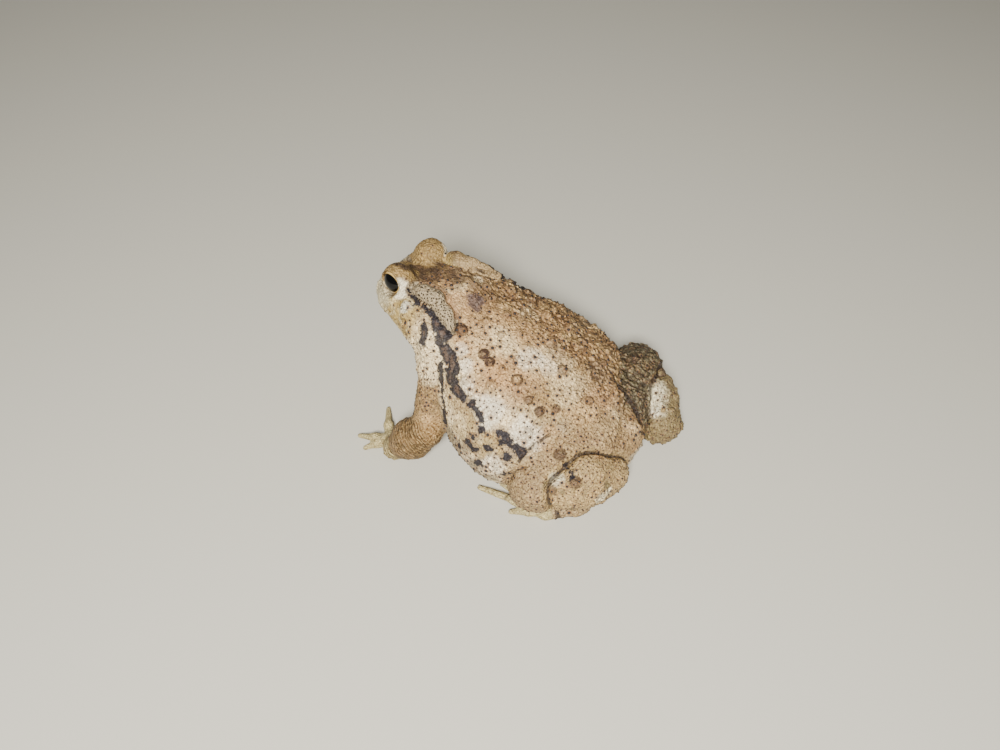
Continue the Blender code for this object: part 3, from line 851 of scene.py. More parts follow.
# Broad patches: place, radius, colour and strength
PATCHES = (
    ((6.9, 11.8, 38.8), 4.2, WHITE, 0.6),
    ((5.6, 17.3, 36.7), 3.0, WHITE, 0.4),
    ((25.7, 9.6, 31.7), 5.0, WHITE, 0.95),
    ((24.8, 20.2, 28.3), 4.6, WHITE, 0.9),
    ((23.9, 24.8, 26.1), 2.6, WHITE, 0.8),
    ((19.2, -3.0, 38.4), 2.2, WHITE, 0.8),
    ((23.1, 0.1, 35.2), 2.2, WHITE, 0.8),
    ((16.3, -5.9, 40.5), 2.0, WHITE, 0.8),
    ((32.9, 15.7, 18.1), 3.4, WHITE, 0.8),
    ((10.5, -3.9, 42.8), 5.0, ORANGE, 0.5),
    ((19.3, 4.6, 37.3), 4.4, ORANGE, 0.5),
    ((19.2, 13.1, 34.9), 3.6, PINK, 0.6),
    ((0.9, 34.1, 28.0), 4.2, PINK, 0.6),
    ((21.4, 28.0, 26.0), 3.6, ORANGE, 0.5),
    ((-13.7, 10.8, 36.7), 3.0, RUST, 0.6),
    ((-0.2, 16.8, 37.1), 3.0, GREY, 0.6),
    ((-5.6, 29.5, 30.3), 3.8, GREY, 0.6),
    ((-2.9, 39.0, 24.0), 3.0, GREY, 0.5),
    ((13.0, 25.7, 31.8), 4.0, TAN, 0.35),
    ((14.5, 1.5, 41.0), 3.6, ORANGE, 0.5),
    ((17.0, 7.0, 38.0), 3.4, ORANGE, 0.4),
    ((16.0, 21.5, 33.0), 3.6, TAN, 0.45),
    ((9.0, 20.5, 35.0), 3.0, TAN, 0.35),
    ((29.0, 4.5, 28.5), 3.4, TAN, 0.6),
    ((31.0, 1.0, 24.5), 2.6, TAN, 0.5),
    ((30.4, 13.5, 24.6), 3.4, TAN, 0.6),
    ((10.0, 32.0, 27.5), 4.0, BACK, 0.6),
    ((-0.3, -19.0, 48.5), 3.0, NAPE, 0.8),
    ((1.7, -26.8, 48.8), 4.0, NAPE, 0.8),
    ((-2.6, -24.2, 48.8), 4.0, NAPE, 0.8),
    ((-4.1, -18.6, 48.2), 3.4, NAPE, 0.75),
    ((-0.6, -13.0, 47.5), 1.8, RUST, 0.8),
    ((-2.4, -11.0, 46.9), 3.8, NAPE, 0.65),
    ((-5.0, -12.0, 46.9), 2.6, WARM, 0.6),
    ((-5.9, -14.0, 47.4), 1.6, CREAM, 0.8),
)

# Dark marks of the left side: places along each line and the half width there, in millimetres
STRIPES = (
    (
        ((9.8, -28.8, 48.2), 0.25),
        ((11.2, -26.0, 47.6), 0.5),
        ((12.5, -23.4, 47.0), 0.8),
        ((12.9, -21.2, 46.6), 1.0),
        ((13.0, -18.6, 46.3), 1.1),
        ((13.9, -16.6, 45.6), 1.0),
        ((15.2, -14.6, 43.9), 1.6),
        ((15.6, -12.8, 43.2), 2.0),
        ((17.4, -12.4, 41.0), 1.2),
        ((18.6, -10.8, 39.2), 1.4),
        ((18.8, -8.4, 38.6), 1.8),
        ((20.2, -6.6, 37.3), 1.9),
        ((21.6, -5.8, 36.0), 1.9),
        ((23.2, -4.8, 34.2), 1.7),
        ((24.6, -3.0, 33.0), 1.6),
        ((25.4, -0.6, 32.4), 1.4),
        ((26.0, 1.6, 32.2), 0.7),
    ),
    (
        ((16.6, -19.2, 46.0), 0.5),
        ((17.3, -18.5, 44.7), 0.8),
        ((18.7, -17.2, 42.9), 0.9),
        ((20.1, -17.3, 39.9), 0.8),
    ),
    (
        ((21.1, -10.4, 35.3), 0.8),
        ((22.9, -9.4, 32.6), 0.7),
        ((24.1, -8.4, 30.8), 0.8),
        ((25.2, -7.4, 28.9), 0.7),
        ((26.6, -6.2, 26.0), 0.3),
        ((27.6, -5.3, 23.8), 0.7),
        ((28.9, -4.6, 20.0), 0.6),
    ),
)
BLOTCHES = (
    ((26.1, 3.3, 32.1), 1.4),
    ((26.7, 5.7, 31.6), 1.3),
    ((27.2, 7.0, 30.7), 1.5),
    ((27.8, 8.2, 29.6), 1.2),
    ((29.6, 8.9, 27.4), 1.1),
    ((31.0, 7.4, 24.6), 0.9),
    ((28.0, 14.4, 27.9), 1.2),
    ((27.9, 16.3, 27.0), 1.4),
    ((29.4, 15.6, 25.6), 1.2),
    ((28.4, 17.9, 25.6), 1.4),
    ((28.4, 20.0, 24.8), 1.2),
    ((28.2, 21.8, 23.4), 1.7),
    ((30.8, 18.6, 21.8), 1.3),
    ((32.5, 6.6, 21.7), 1.4),
    ((32.8, 9.0, 21.2), 1.1),
    ((31.6, 12.8, 23.3), 1.1),
    ((33.9, 10.7, 16.6), 1.4),
    ((31.5, 19.0, 15.1), 1.0),
    ((33.2, 2.6, 18.4), 1.0),
    ((23.8, 34.0, 20.5), 0.8),
    ((25.6, 36.6, 22.0), 1.0),
    ((26.4, 38.3, 21.0), 0.9),
)

# Pale spots of the left shank: place and radius
PALE_SPOTS = (
    ((28.4, 33.7, 19.2), 1.8),
    ((24.5, 46.4, 14.7), 1.5),
    ((21.5, 47.8, 15.0), 1.1),
)


def head_colours(where, lay, rough, fine):
    """Brown streaked crown, pale lids and snout, yellow cheeks with brown mottles."""
    hx, hy, hz = where.head
    local = np.stack(where.head, axis=1)
    streaks = clouds(local * (1.0, 0.3, 1.0), 1.3, 41)
    head = soft(hy - 8.5, 6) * soft(34 - where.points[:, 2], 3)
    lay(head * (0.75 + 0.25 * fine), HEAD_TAN)
    lay(head * soft(0.56 - streaks, 0.18) * 0.65, BROW)
    lay(head * soft(streaks - 0.40, 0.16) * soft(np.abs(hx) - 5, 4) * 0.6, HEAD_DARK)
    for sign in SIDES.values():
        sx = hx * sign
        side_of_head = soft(8.5 - sx, 3.5) * head
        cheek = side_of_head * soft(hz + 1.0, 3)
        lay(cheek, CHEEK_SPOT)
        lay(cheek * soft(0.62 - rough, 0.25) * 0.55, CHEEK)
        lay(cheek * soft(0.36 - fine, 0.14) * 0.5, CHEEK)
        lay(cheek * soft(fine - 0.36, 0.12) * 0.5, SNOUT)
        dome = np.sqrt((sx - 7.5) ** 2 + hy**2 + hz**2) - 5.0
        lay(soft(dome - 0.3, 1.4) * (0.75 + 0.25 * rough), BROW)
        around = np.arctan2(hz, sx - 7.5)
        lines = soft(np.abs(np.sin(around * 9 + 3 * rough)) - 0.12, 0.3)
        lay(soft(dome, 1.0) * lines * soft(sx - 10.5, 2.0) * 0.45, HEAD_TAN)
        rear = np.sqrt((sx - 11.2) ** 2 + (hy - 3.6) ** 2 + (hz + 0.4) ** 2)
        lay(soft(rear - 2.4, 1.6), PALE_LID)
        below = np.sqrt((sx - 12.0) ** 2 + (hy + 2.0) ** 2 + (hz + 4.4) ** 2)
        lay(soft(below - 1.8, 1.4) * 0.8, SNOUT)
        lay(soft(hy + 5.0, 3) * soft(hz + 1.5, 2) * soft(5 - sx, 3) * head * 0.85, SNOUT)
        lay(soft(hz + 13.5, 2.5) * head * 0.85, CREAM)
        slit_middle = mirrored(EYE, sign) + mirrored(EYE_AXIS, sign) * SLIT_OUT
        slit = ellipsoid(slit_middle, SLIT_RADII)[0](hx, hy, hz)
        lay(soft(np.abs(slit), 0.32) * soft(dome - 1.0, 1.0) * 0.7, HEAD_DARK)


def limb_colours(where, lay, rough, fine):
    """Golden brown arms with a pale elbow, tan thighs, olive shanks, yellow digits."""
    points = where.points
    arms = where.part("upper_arm", "forearm", edge=2.0)
    lay(arms, ARM)
    for sign in SIDES.values():
        elbow = away_from(mirrored((31.0, -9.6, 18.0), sign), points)
        lay(arms * soft(elbow - 2.0, 3.5) * 0.75, ELBOW)
    lay(arms * soft(0.55 - fine, 0.2) * 0.35, ELBOW)
    lay(where.part("thigh", "foot", edge=2.5) * 0.85, LEG)
    lay(where.part("thigh", edge=2.0) * soft(rough - 0.42, 0.25) * 0.35, WARM)
    shank = where.part("shank", edge=0.8, out=1.4)
    lay(shank, SHANK)
    lay(shank * soft(0.30 - rough, 0.2) * 0.5, BACK)
    lay(shank * soft(fine - 0.3, 0.2) * 0.3, OLIVE)
    thigh_right = soft(where.near["thigh_right"] - 1.2, 1.0) * soft(points[:, 0] + 5.0, 2.5)
    lay(thigh_right * 0.95, DULL)
    lay(thigh_right * soft(fine - 0.35, 0.2) * 0.5, OLIVE)
    shank_right = soft(where.near["shank_right"] - 1.0, 0.5)
    lay(shank_right, SHANK)
    pale = away_from((-13.0, 44.8, 20.8), points)
    lay(shank_right * soft(pale - 2.0 - 3.0 * rough, 4.5) * 0.85, PALE_SHANK)
    lay(shank_right * soft(away_from((-10.0, 47.4, 17.4), points) - 1.0, 1.5) * 0.7, WHITE)
    for place, radius in PALE_SPOTS:
        lay(soft(away_from(place, points) - radius * (0.5 + rough), 1.0) * 0.8, PALE_SHANK)
    lay(soft(away_from((16.5, 41.0, 21.1), points) - 1.0, 1.6) * 0.7, RUST)
    knee = away_from((-18.5, 40.6, 23.0), points)
    lay(soft(np.abs(knee - 2.6) - 0.4, 1.2) * shank_right * 0.7, RUST)
    lay(where.part("hand", "digits", edge=0.9), DIGIT)


# Smooth pinkish patch behind the left gland, and a purple one beside it
SMOOTH_PATCH = np.array((5.2, -13.6, 47.0))
PURPLE_PATCH = np.array((1.6, -9.6, 46.6))
# Bright band from the left gland down the shoulder to the belly
BAND = (
    (18.2, -15.4, 42.5),
    (20.6, -13.4, 38.0),
    (23.2, -10.6, 33.4),
    (26.6, -7.0, 27.5),
    (29.6, -2.6, 23.0),
)
# Painted shadow of the left lid on the crown behind it, a dark line over the lid to the crown
LID_SHADOW_LINE = (
    (5.6, -36.8, 52.0),
    (5.8, -34.6, 52.5),
    (5.6, -32.6, 52.3),
    (3.9, -31.4, 50.5),
    (4.6, -29.0, 49.6),
)
LOW_FLANK = np.array((30.5, 13.0, 23.5))


def paint(where):
    """The colour of the skin at each point."""
    points = where.points
    rough = clouds(points, 3.2, 1)
    fine = clouds(points, 1.2, 2)
    broad = clouds(points, 8.0, 3)
    coat = np.empty((len(points), 3))
    coat[:] = BACK

    def lay(mask, colour):
        coat[:] += (np.array(colour) - coat) * np.clip(mask, 0, 1)[:, None]

    angle, along = where.angle, where.along
    lay(soft(0.70 - broad, 0.2) * 0.5, CREAM)
    lay(soft(broad - 0.50, 0.25) * 0.8 * (0.5 + 0.5 * rough), PINK)
    lay(soft(0.40 - rough, 0.25) * soft(broad - 0.5, 0.3) * 0.35, RUST)
    flank = soft(46 - angle, 12) * soft(np.abs(along - 4) - 22, 10)
    lay(flank * (0.75 + 0.25 * rough), CREAM)
    lay(flank * soft(clouds(points * (1, 1, 0.5), 3.0, 44) - 0.42, 0.2) * 0.6, TAN)
    # The right side of the back, turned from the key lamp, is painted darker brown: partly its own browner
    # colour, partly painted shade
    right = soft(angle + 14, 22)
    lay(right * (0.35 + 0.55 * rough), WARM)
    lay(right * soft(0.60 - rough, 0.15) * 0.6, BACK)
    lay(right * soft(clouds(points, 2.4, 7) - 0.36, 0.12) * 0.5, RUST)
    # Painted shade in the low places of the broad swelling of the skin
    lay(soft(clouds(points, 5.2, 4) - 0.32, 0.18) * 0.5, WARM)
    lay(soft(88 - np.abs(angle), 20), BELLY)
    lay(soft(86 - np.abs(angle), 20) * soft(0.58 - rough, 0.1) * 0.55, OLIVE)
    for sign in SIDES.values():
        low = away_from(mirrored(LOW_FLANK, sign), points, (1, 0.7, 1))
        streaked = clouds(points * (1, 1, 0.35), 1.6, 42)
        lay(soft(low - 4.0, 4.5) * soft(0.62 - streaked, 0.3) * 0.75, TAN)
        lay(soft(low - 3.0, 4.5) * soft(streaked - 0.30, 0.12) * 0.5, OLIVE)
        path = [mirrored(p, sign) for p in BAND]
        lay(soft(limb(path, 1.2)[0](*points.T), 1.6) * 0.9, CREAM)
        for place, radius in BLOTCHES:
            away = away_from(mirrored(place, sign), points)
            lay(soft(away - radius * (0.6 + 0.8 * fine), 1.6) * 0.55, GREY)
    head_colours(where, lay, rough, fine)
    for place, radius, colour, strength in PATCHES:
        mask = soft(away_from(place, points) - radius * (0.4 + 0.8 * rough), 0.5 * radius)
        lay(mask * (0.6 + 0.4 * fine) * strength, colour)
    front = soft(points[:, 1] + 22.5, 1.5)
    shown = np.maximum(1 - front, points[:, 0] > 0)
    # Painted shade in the crease round the base of the glands
    lay(soft(np.abs(where.glands - 1.15) - 0.1, 0.5) * 0.8 * shown, GLAND_CREASE_SHADE)
    lay(where.gland * (points[:, 0] > 0), GLAND)
    lay(where.gland * (points[:, 0] <= 0) * (1 - front), RIGHT_GLAND)
    lay(where.gland * where.rim, GLAND_RIM)
    for sign in SIDES.values():
        ear = from_head(outward(HEAD.level, (0, *TYMPANUM), (sign, 0, 0)))
        ear = ear - (0, 0, 0.3)
        lay(soft(away_from(ear, points, (1.2, 1.2, 0.6)) - 1.8, 0.5), EAR)
    patch = away_from(SMOOTH_PATCH, points, (0.9, 0.9, 0.5))
    lay(soft(patch - 2.6, 2.0) * 0.75, PINK)
    patch = away_from(PURPLE_PATCH, points, (0.9, 0.9, 0.7))
    lay(soft(patch - 1.6 - 3.2 * (fine - 0.45), 1.1) * 0.8, PURPLE)
    # Painted shadow of the left lid on the crown
    lay(soft(limb(LID_SHADOW_LINE, 0.3)[0](*points.T) - 0.3, 0.5) * 0.9, HEAD_DARK)
    limb_colours(where, lay, rough, fine)
    for sign in SIDES.values():
        shoulder = away_from(mirrored((20.5, -15.5, 35.0), sign), points)
        lay(soft(shoulder - 6.0, 4), CREAM)
    # Painted shade in the valleys of the fine folds at the groins and the right knee
    lay(folds(points, where.out)[1] * 0.55, WARM)
    return np.clip(coat, 0, 1)


GLAND_ROUND = 2.7


def gland_grid(points):
    """Places on the left gland in millimetres: along its spine, and round it from its lower edge."""
    spine = np.array(gland_spine(1))
    best, along, around = np.full(len(points), 1e3), np.zeros(len(points)), np.zeros(len(points))
    passed = 0.0
    for a, b in zip(spine, spine[1:]):
        length = np.linalg.norm(b - a)
        way = (b - a) / length
        t = np.clip((points - a) @ way, 0, length)
        off = points - a - t[:, None] * way
        away = np.linalg.norm(off, axis=1)
        aside = np.cross((0, 0, 1), way)
        turn = np.arctan2(off @ np.cross(way, aside), off @ aside / np.linalg.norm(aside))
        closer = away < best
        best = np.where(closer, away, best)
        along = np.where(closer, passed + t, along)
        around = np.where(closer, turn * GLAND_ROUND, around)
        passed += length
    return along, around


def mark_distances(where, warts, tubercles, sizes, crease_shade):
    """How far each point lies from marks and creases, and, counted in their radii, from the nearest
    wart and tubercle."""
    points = where.points
    rough, fine = clouds(points, 3.2, 1), clouds(points, 1.2, 2)
    stripe, line = np.full(len(points), 6.0), np.full(len(points), 6.0)
    for sign in SIDES.values():
        for marks in STRIPES:
            path, widths = zip(*marks)
            away = limb([mirrored(p, sign) for p in path], widths, 0.3)[0](*points.T)
            stripe = np.minimum(stripe, away + 1.5 * (fine - 0.5) + 0.5 * (rough - 0.5))
        for place, radius in BLOTCHES:
            away = away_from(mirrored(place, sign), points) - radius
            stripe = np.minimum(stripe, np.maximum(away, -0.6) + 1.6 * (fine - 0.4))
    # Distance to the deep creases, for painted shade along them
    for radius, path in CREASES:
        line = np.minimum(line, limb(path, radius, 0.1)[0](*points.T))
    away, wart_near = nearest(points, [place for place, _ in warts])
    wart = away / np.array([radius for _, radius in warts])[wart_near]
    looks = [(ring, top) for *_, ring, top in WARTS]
    looks += [DRAWN_WART_LOOK] * (WART_COUNT - len(WARTS))
    looks += [LEG_WART_LOOK] * (len(warts) - WART_COUNT)
    rings, tops = np.array(looks).T
    along, around = gland_grid(points)
    away, which = nearest(points, tubercles)
    halo = np.random.default_rng(TUBERCLE_SEED).uniform(0, 1, len(sizes)) ** 2
    face = soft(where.head[1] - 7, 2) * soft(31 - points[:, 2], 2)
    smooth = soft(away_from(SMOOTH_PATCH, points) - 3.5, 1.5)
    plain = np.max([face, where.gland, smooth, where.part("digits", "hand", "forearm", edge=1.2)], axis=0)
    rugged = soft(where.angle + 14, 18) * soft(-16 - points[:, 1], 5)
    rugged = np.maximum(rugged, soft(where.near["thigh_right"] - 1.2, 1))
    rugged *= (0.35 + 0.65 * clouds(points, 4.5, 43)) * (1 - soft(where.near["shank_right"] - 1.0, 0.5))
    return {
        "stripe": stripe,
        "line": line,
        "wart": wart,
        "ring": rings[wart_near],
        "top": tops[wart_near],
        "spot": away / sizes[which],
        "halo": halo[which],
        "crease_shade": crease_shade,
        "pores": where.gland * (points[:, 0] > 0) * (1 - where.rim),
        "gland_along": along,
        "gland_around": around,
        "plain": plain,
        "rugged": rugged * (1 - plain),
    }


GROIN = np.array((27.5, 21.6, 24.6))
GROIN_WAY = np.array((2.5, 33.8, 28.2)) - GROIN
KNEE = np.array((-20.5, 38.5, 22.0))
GROIN_FOLDS = 46
GROIN_FOLD_HEIGHT = 0.24
KNEE_FOLDS = 3.6
KNEE_FOLD_HEIGHT = 0.30


def folds(points, out):
    """Height and valleys of the fine folds that fan out from the groins and lie across the right knee."""
    height, valley = np.zeros(len(points)), np.zeros(len(points))
    for sign in SIDES.values():
        root, way = mirrored(GROIN, sign), unit(mirrored(GROIN_WAY, sign))
        from_root = points - root
        across = np.cross(out, way)
        along = from_root @ way
        aside = (from_root * across).sum(1)
        fan = np.arctan2(aside, np.abs(along) + 3.0)
        wave = np.sin(fan * GROIN_FOLDS + 4 * clouds(points, 4.0, 21))
        reach = soft(away_from(root, points) - 9, 14) * soft(np.abs(fan) - 0.35, 0.35) * (along > -2)
        height += GROIN_FOLD_HEIGHT * wave * reach
        valley = np.maximum(valley, soft(wave + 0.65, 0.3) * reach)
    away = away_from(KNEE, points)
    wave = np.sin(away * KNEE_FOLDS + 3 * clouds(points, 3.0, 22))
    height += KNEE_FOLD_HEIGHT * wave * soft(away - 5.5, 3)
    valley = np.maximum(valley, soft(wave + 0.65, 0.3) * soft(away - 5.5, 3))
    return height, valley


# Uneven swelling of the whole skin: height, how far across, and seed
SWELLS = ((0.75, 5.2, 4), (0.42, 2.4, 5), (0.18, 1.2, 6))


def raise_skin(where, warts):
    """How far the skin stands out at each point beyond the sculpted form, in millimetres."""
    points = where.points
    face = soft(where.head[1] - 6, 6) * soft(34 - points[:, 2], 3)
    digits = where.part("digits", edge=1.0)
    right = soft(where.angle + 14, 20) * soft(-96 - where.angle, 10)
    height = sum(rise * (clouds(points, size, seed) - 0.5) for rise, size, seed in SWELLS)
    height *= (1 + 0.9 * right) * (1 - 0.85 * digits) * (1 - 0.6 * face)
    height += folds(points, where.out)[0]
    away, which = nearest(points, [place for place, _ in warts])
    share = away / np.array([radius for _, radius in warts])[which]
    height -= 0.20 * soft(np.abs(share - 1.2) - 0.05, 0.25)
    height -= 0.35 * soft(share - 0.12, 0.18)
    return height


# Low bumps over the whole skin: spacing, least and greatest radius, height as a share of radius, seed
BUMPS = (
    (3.1, 0.9, 1.5, 0.34, 13),
    (1.75, 0.5, 0.9, 0.38, 11),
)
TUBERCLE_SEED = 12
TUBERCLE_SPACING = 1.7
TUBERCLE_CLOSER = 0.28


def store(mesh, name, values):
    mesh.attributes.new(name, "FLOAT", "POINT").data.foreach_set("value", values)


def read(items, key):
    """Three numbers from each vertex or normal of a mesh."""
    values = np.empty(len(items) * 3)
    items.foreach_get(key, values)
    return values.reshape(-1, 3)


def skin_mesh():
    """The roughened skin, with the places, ways out and sizes of its tubercles."""
    clay, warts = sculpt()
    points, quads = surface_of(clay)
    mesh = bpy.data.meshes.new("skin")
    mesh.from_pydata(points.tolist(), [], quads.tolist())
    out = read(mesh.vertex_normals, "vector")
    where = Regions(points, out)
    height = raise_skin(where, warts)
    bare = where.part("digits", edge=1.0)
    face = (where.head[1] < 7) & (points[:, 2] > 30)
    right = soft(where.angle + 14, 20)
    glands = where.glands < 0.6
    rough = np.nonzero((points[:, 2] > 1.5) & (bare < 0.5) & ~glands)[0]
    for spacing, least, most, rise, seed in BUMPS:
        room = np.where(face, spacing * 1.25, spacing)
        picked = rough[spread(points[rough], room[rough], seed)]
        draw = np.random.default_rng(seed)
        less = np.where(face[picked], 0.6, 1.0)
        size = draw.uniform(least, most, len(picked)) * less
        lift = size * rise * draw.uniform(0.3, 1.0, len(picked)) * (1 + 0.9 * right[picked]) * less
        away, which = nearest(points, points[picked])
        height += lift[which] * soft(away / size[which], 1.0)
    bald = where.part("digits", "hand", "forearm", edge=1.2) > 0.3
    bald |= glands | (away_from(SMOOTH_PATCH, points) < 4.0)
    low = np.nonzero((points[:, 2] > 2.0) & ~bald & ((np.abs(where.angle) < 98) | (where.body > 8)))[0]
    room = TUBERCLE_SPACING * np.where(face, 2.4, 1.0) * (1 + 0.4 * (clouds(points, 6.0, 31) - 0.5))
    room = room * (1 - TUBERCLE_CLOSER * where.part("thigh", "shank", "upper_arm", edge=1.0))
    room = room * (1 - 0.2 * where.part("upper_arm", edge=1.5, out=1.5))
    roots = low[spread(points[low], room[low], TUBERCLE_SEED)]
    draw = np.random.default_rng(TUBERCLE_SEED)
    sizes = draw.triangular(0.4, 0.55, 1.25, len(roots)) * np.where(face[roots], 0.6, 1.0)
    sizes *= 1 - 0.25 * where.part("thigh", "shank", "upper_arm", edge=1.0)[roots]
    away, which = nearest(points, points[roots])
    height += 0.20 * sizes[which] * soft(away - 0.2, 0.7)
    height *= np.clip(points[:, 2] / 2.0, 0, 1)
    raised = points + out * height[:, None]
    mesh.vertices.foreach_set("co", ((raised - CENTRE) * MM).ravel())
    mesh.update()
    return mesh, clay, warts, raised[roots], out[roots], sizes


class Wire:
    """A value in a material's node tree that can be used in sums like a number."""

    def __init__(self, tree, socket):
        self.tree = tree
        self.socket = socket

    def feed(self, node, key, value):
        if isinstance(value, Wire):
            self.tree.links.new(value.socket, node.inputs[key])
        else:
            node.inputs[key].default_value = value

    def maths(self, kind, *values):
        node = self.tree.nodes.new("ShaderNodeMath")
        node.operation = kind
        for key, value in enumerate(values):
            self.feed(node, key, value)
        return Wire(self.tree, node.outputs[0])

    def node(self, kind, settings=None, out=0, **values):
        """Adds a node with its settings, feeds its sockets, and gives one of its outputs."""
        node = self.tree.nodes.new(kind)
        for key, value in (settings or {}).items():
            setattr(node, key, value)
        for key, value in values.items():
            name = key.replace("_", " ")
            self.feed(node, int(name[1:]) if name[0] == "n" and name[1:].isdigit() else name, value)
        return Wire(self.tree, node.outputs[out])

    def __add__(self, other):
        return self.maths("ADD", self, other)

    def __radd__(self, other):
        return self.maths("ADD", other, self)

    def __sub__(self, other):
        return self.maths("SUBTRACT", self, other)

    def __rsub__(self, other):
        return self.maths("SUBTRACT", other, self)

    def __mul__(self, other):
        return self.maths("MULTIPLY", self, other)

    def __rmul__(self, other):
        return self.maths("MULTIPLY", other, self)

    def step(self, low, high):
        """Zero below one value, one above the other, and smooth between."""
        settings = {"interpolation_type": "SMOOTHSTEP"}
        return self.node("ShaderNodeMapRange", settings, n0=self, n1=low, n2=high)

    def mix(self, one, other):
        """Blends from one colour to the other as this value goes from 0 to 1."""
        node = self.tree.nodes.new("ShaderNodeMix")
        node.data_type = "RGBA"
        self.feed(node, 0, self)
        for key, colour in ((6, one), (7, other)):
            self.feed(node, key, colour if isinstance(colour, Wire) else (*colour, 1))
        return Wire(self.tree, node.outputs[2])

    def tint(self, colour, by):
        """Multiplies a colour by another, as far as this value says."""
        settings = {"data_type": "RGBA", "blend_type": "MULTIPLY"}
        return self.node("ShaderNodeMix", settings, 2, n0=self, n6=colour, n7=(*by, 1))


def new_material(name):
    material = bpy.data.materials.new(name)
    material.use_nodes = True
    tree = material.node_tree
    shader = tree.nodes["Principled BSDF"]
    return material, Wire(tree, None), shader


def attribute(wire, name, out=2):
    return wire.node("ShaderNodeAttribute", {"attribute_name": name}, out=out)


STRIPE = (0.011, 0.009, 0.013)
STRIPE_INSIDE = (0.12, 0.07, 0.042)
RING = (0.055, 0.028, 0.015)
WART_TOP = (0.10, 0.055, 0.035)
HALO = (0.25, 0.13, 0.055)
# Near-black of dark spots, pores and tubercle marks, also used for painted shade in creases
DARK_SPOT_AND_SHADE = (0.020, 0.011, 0.007)


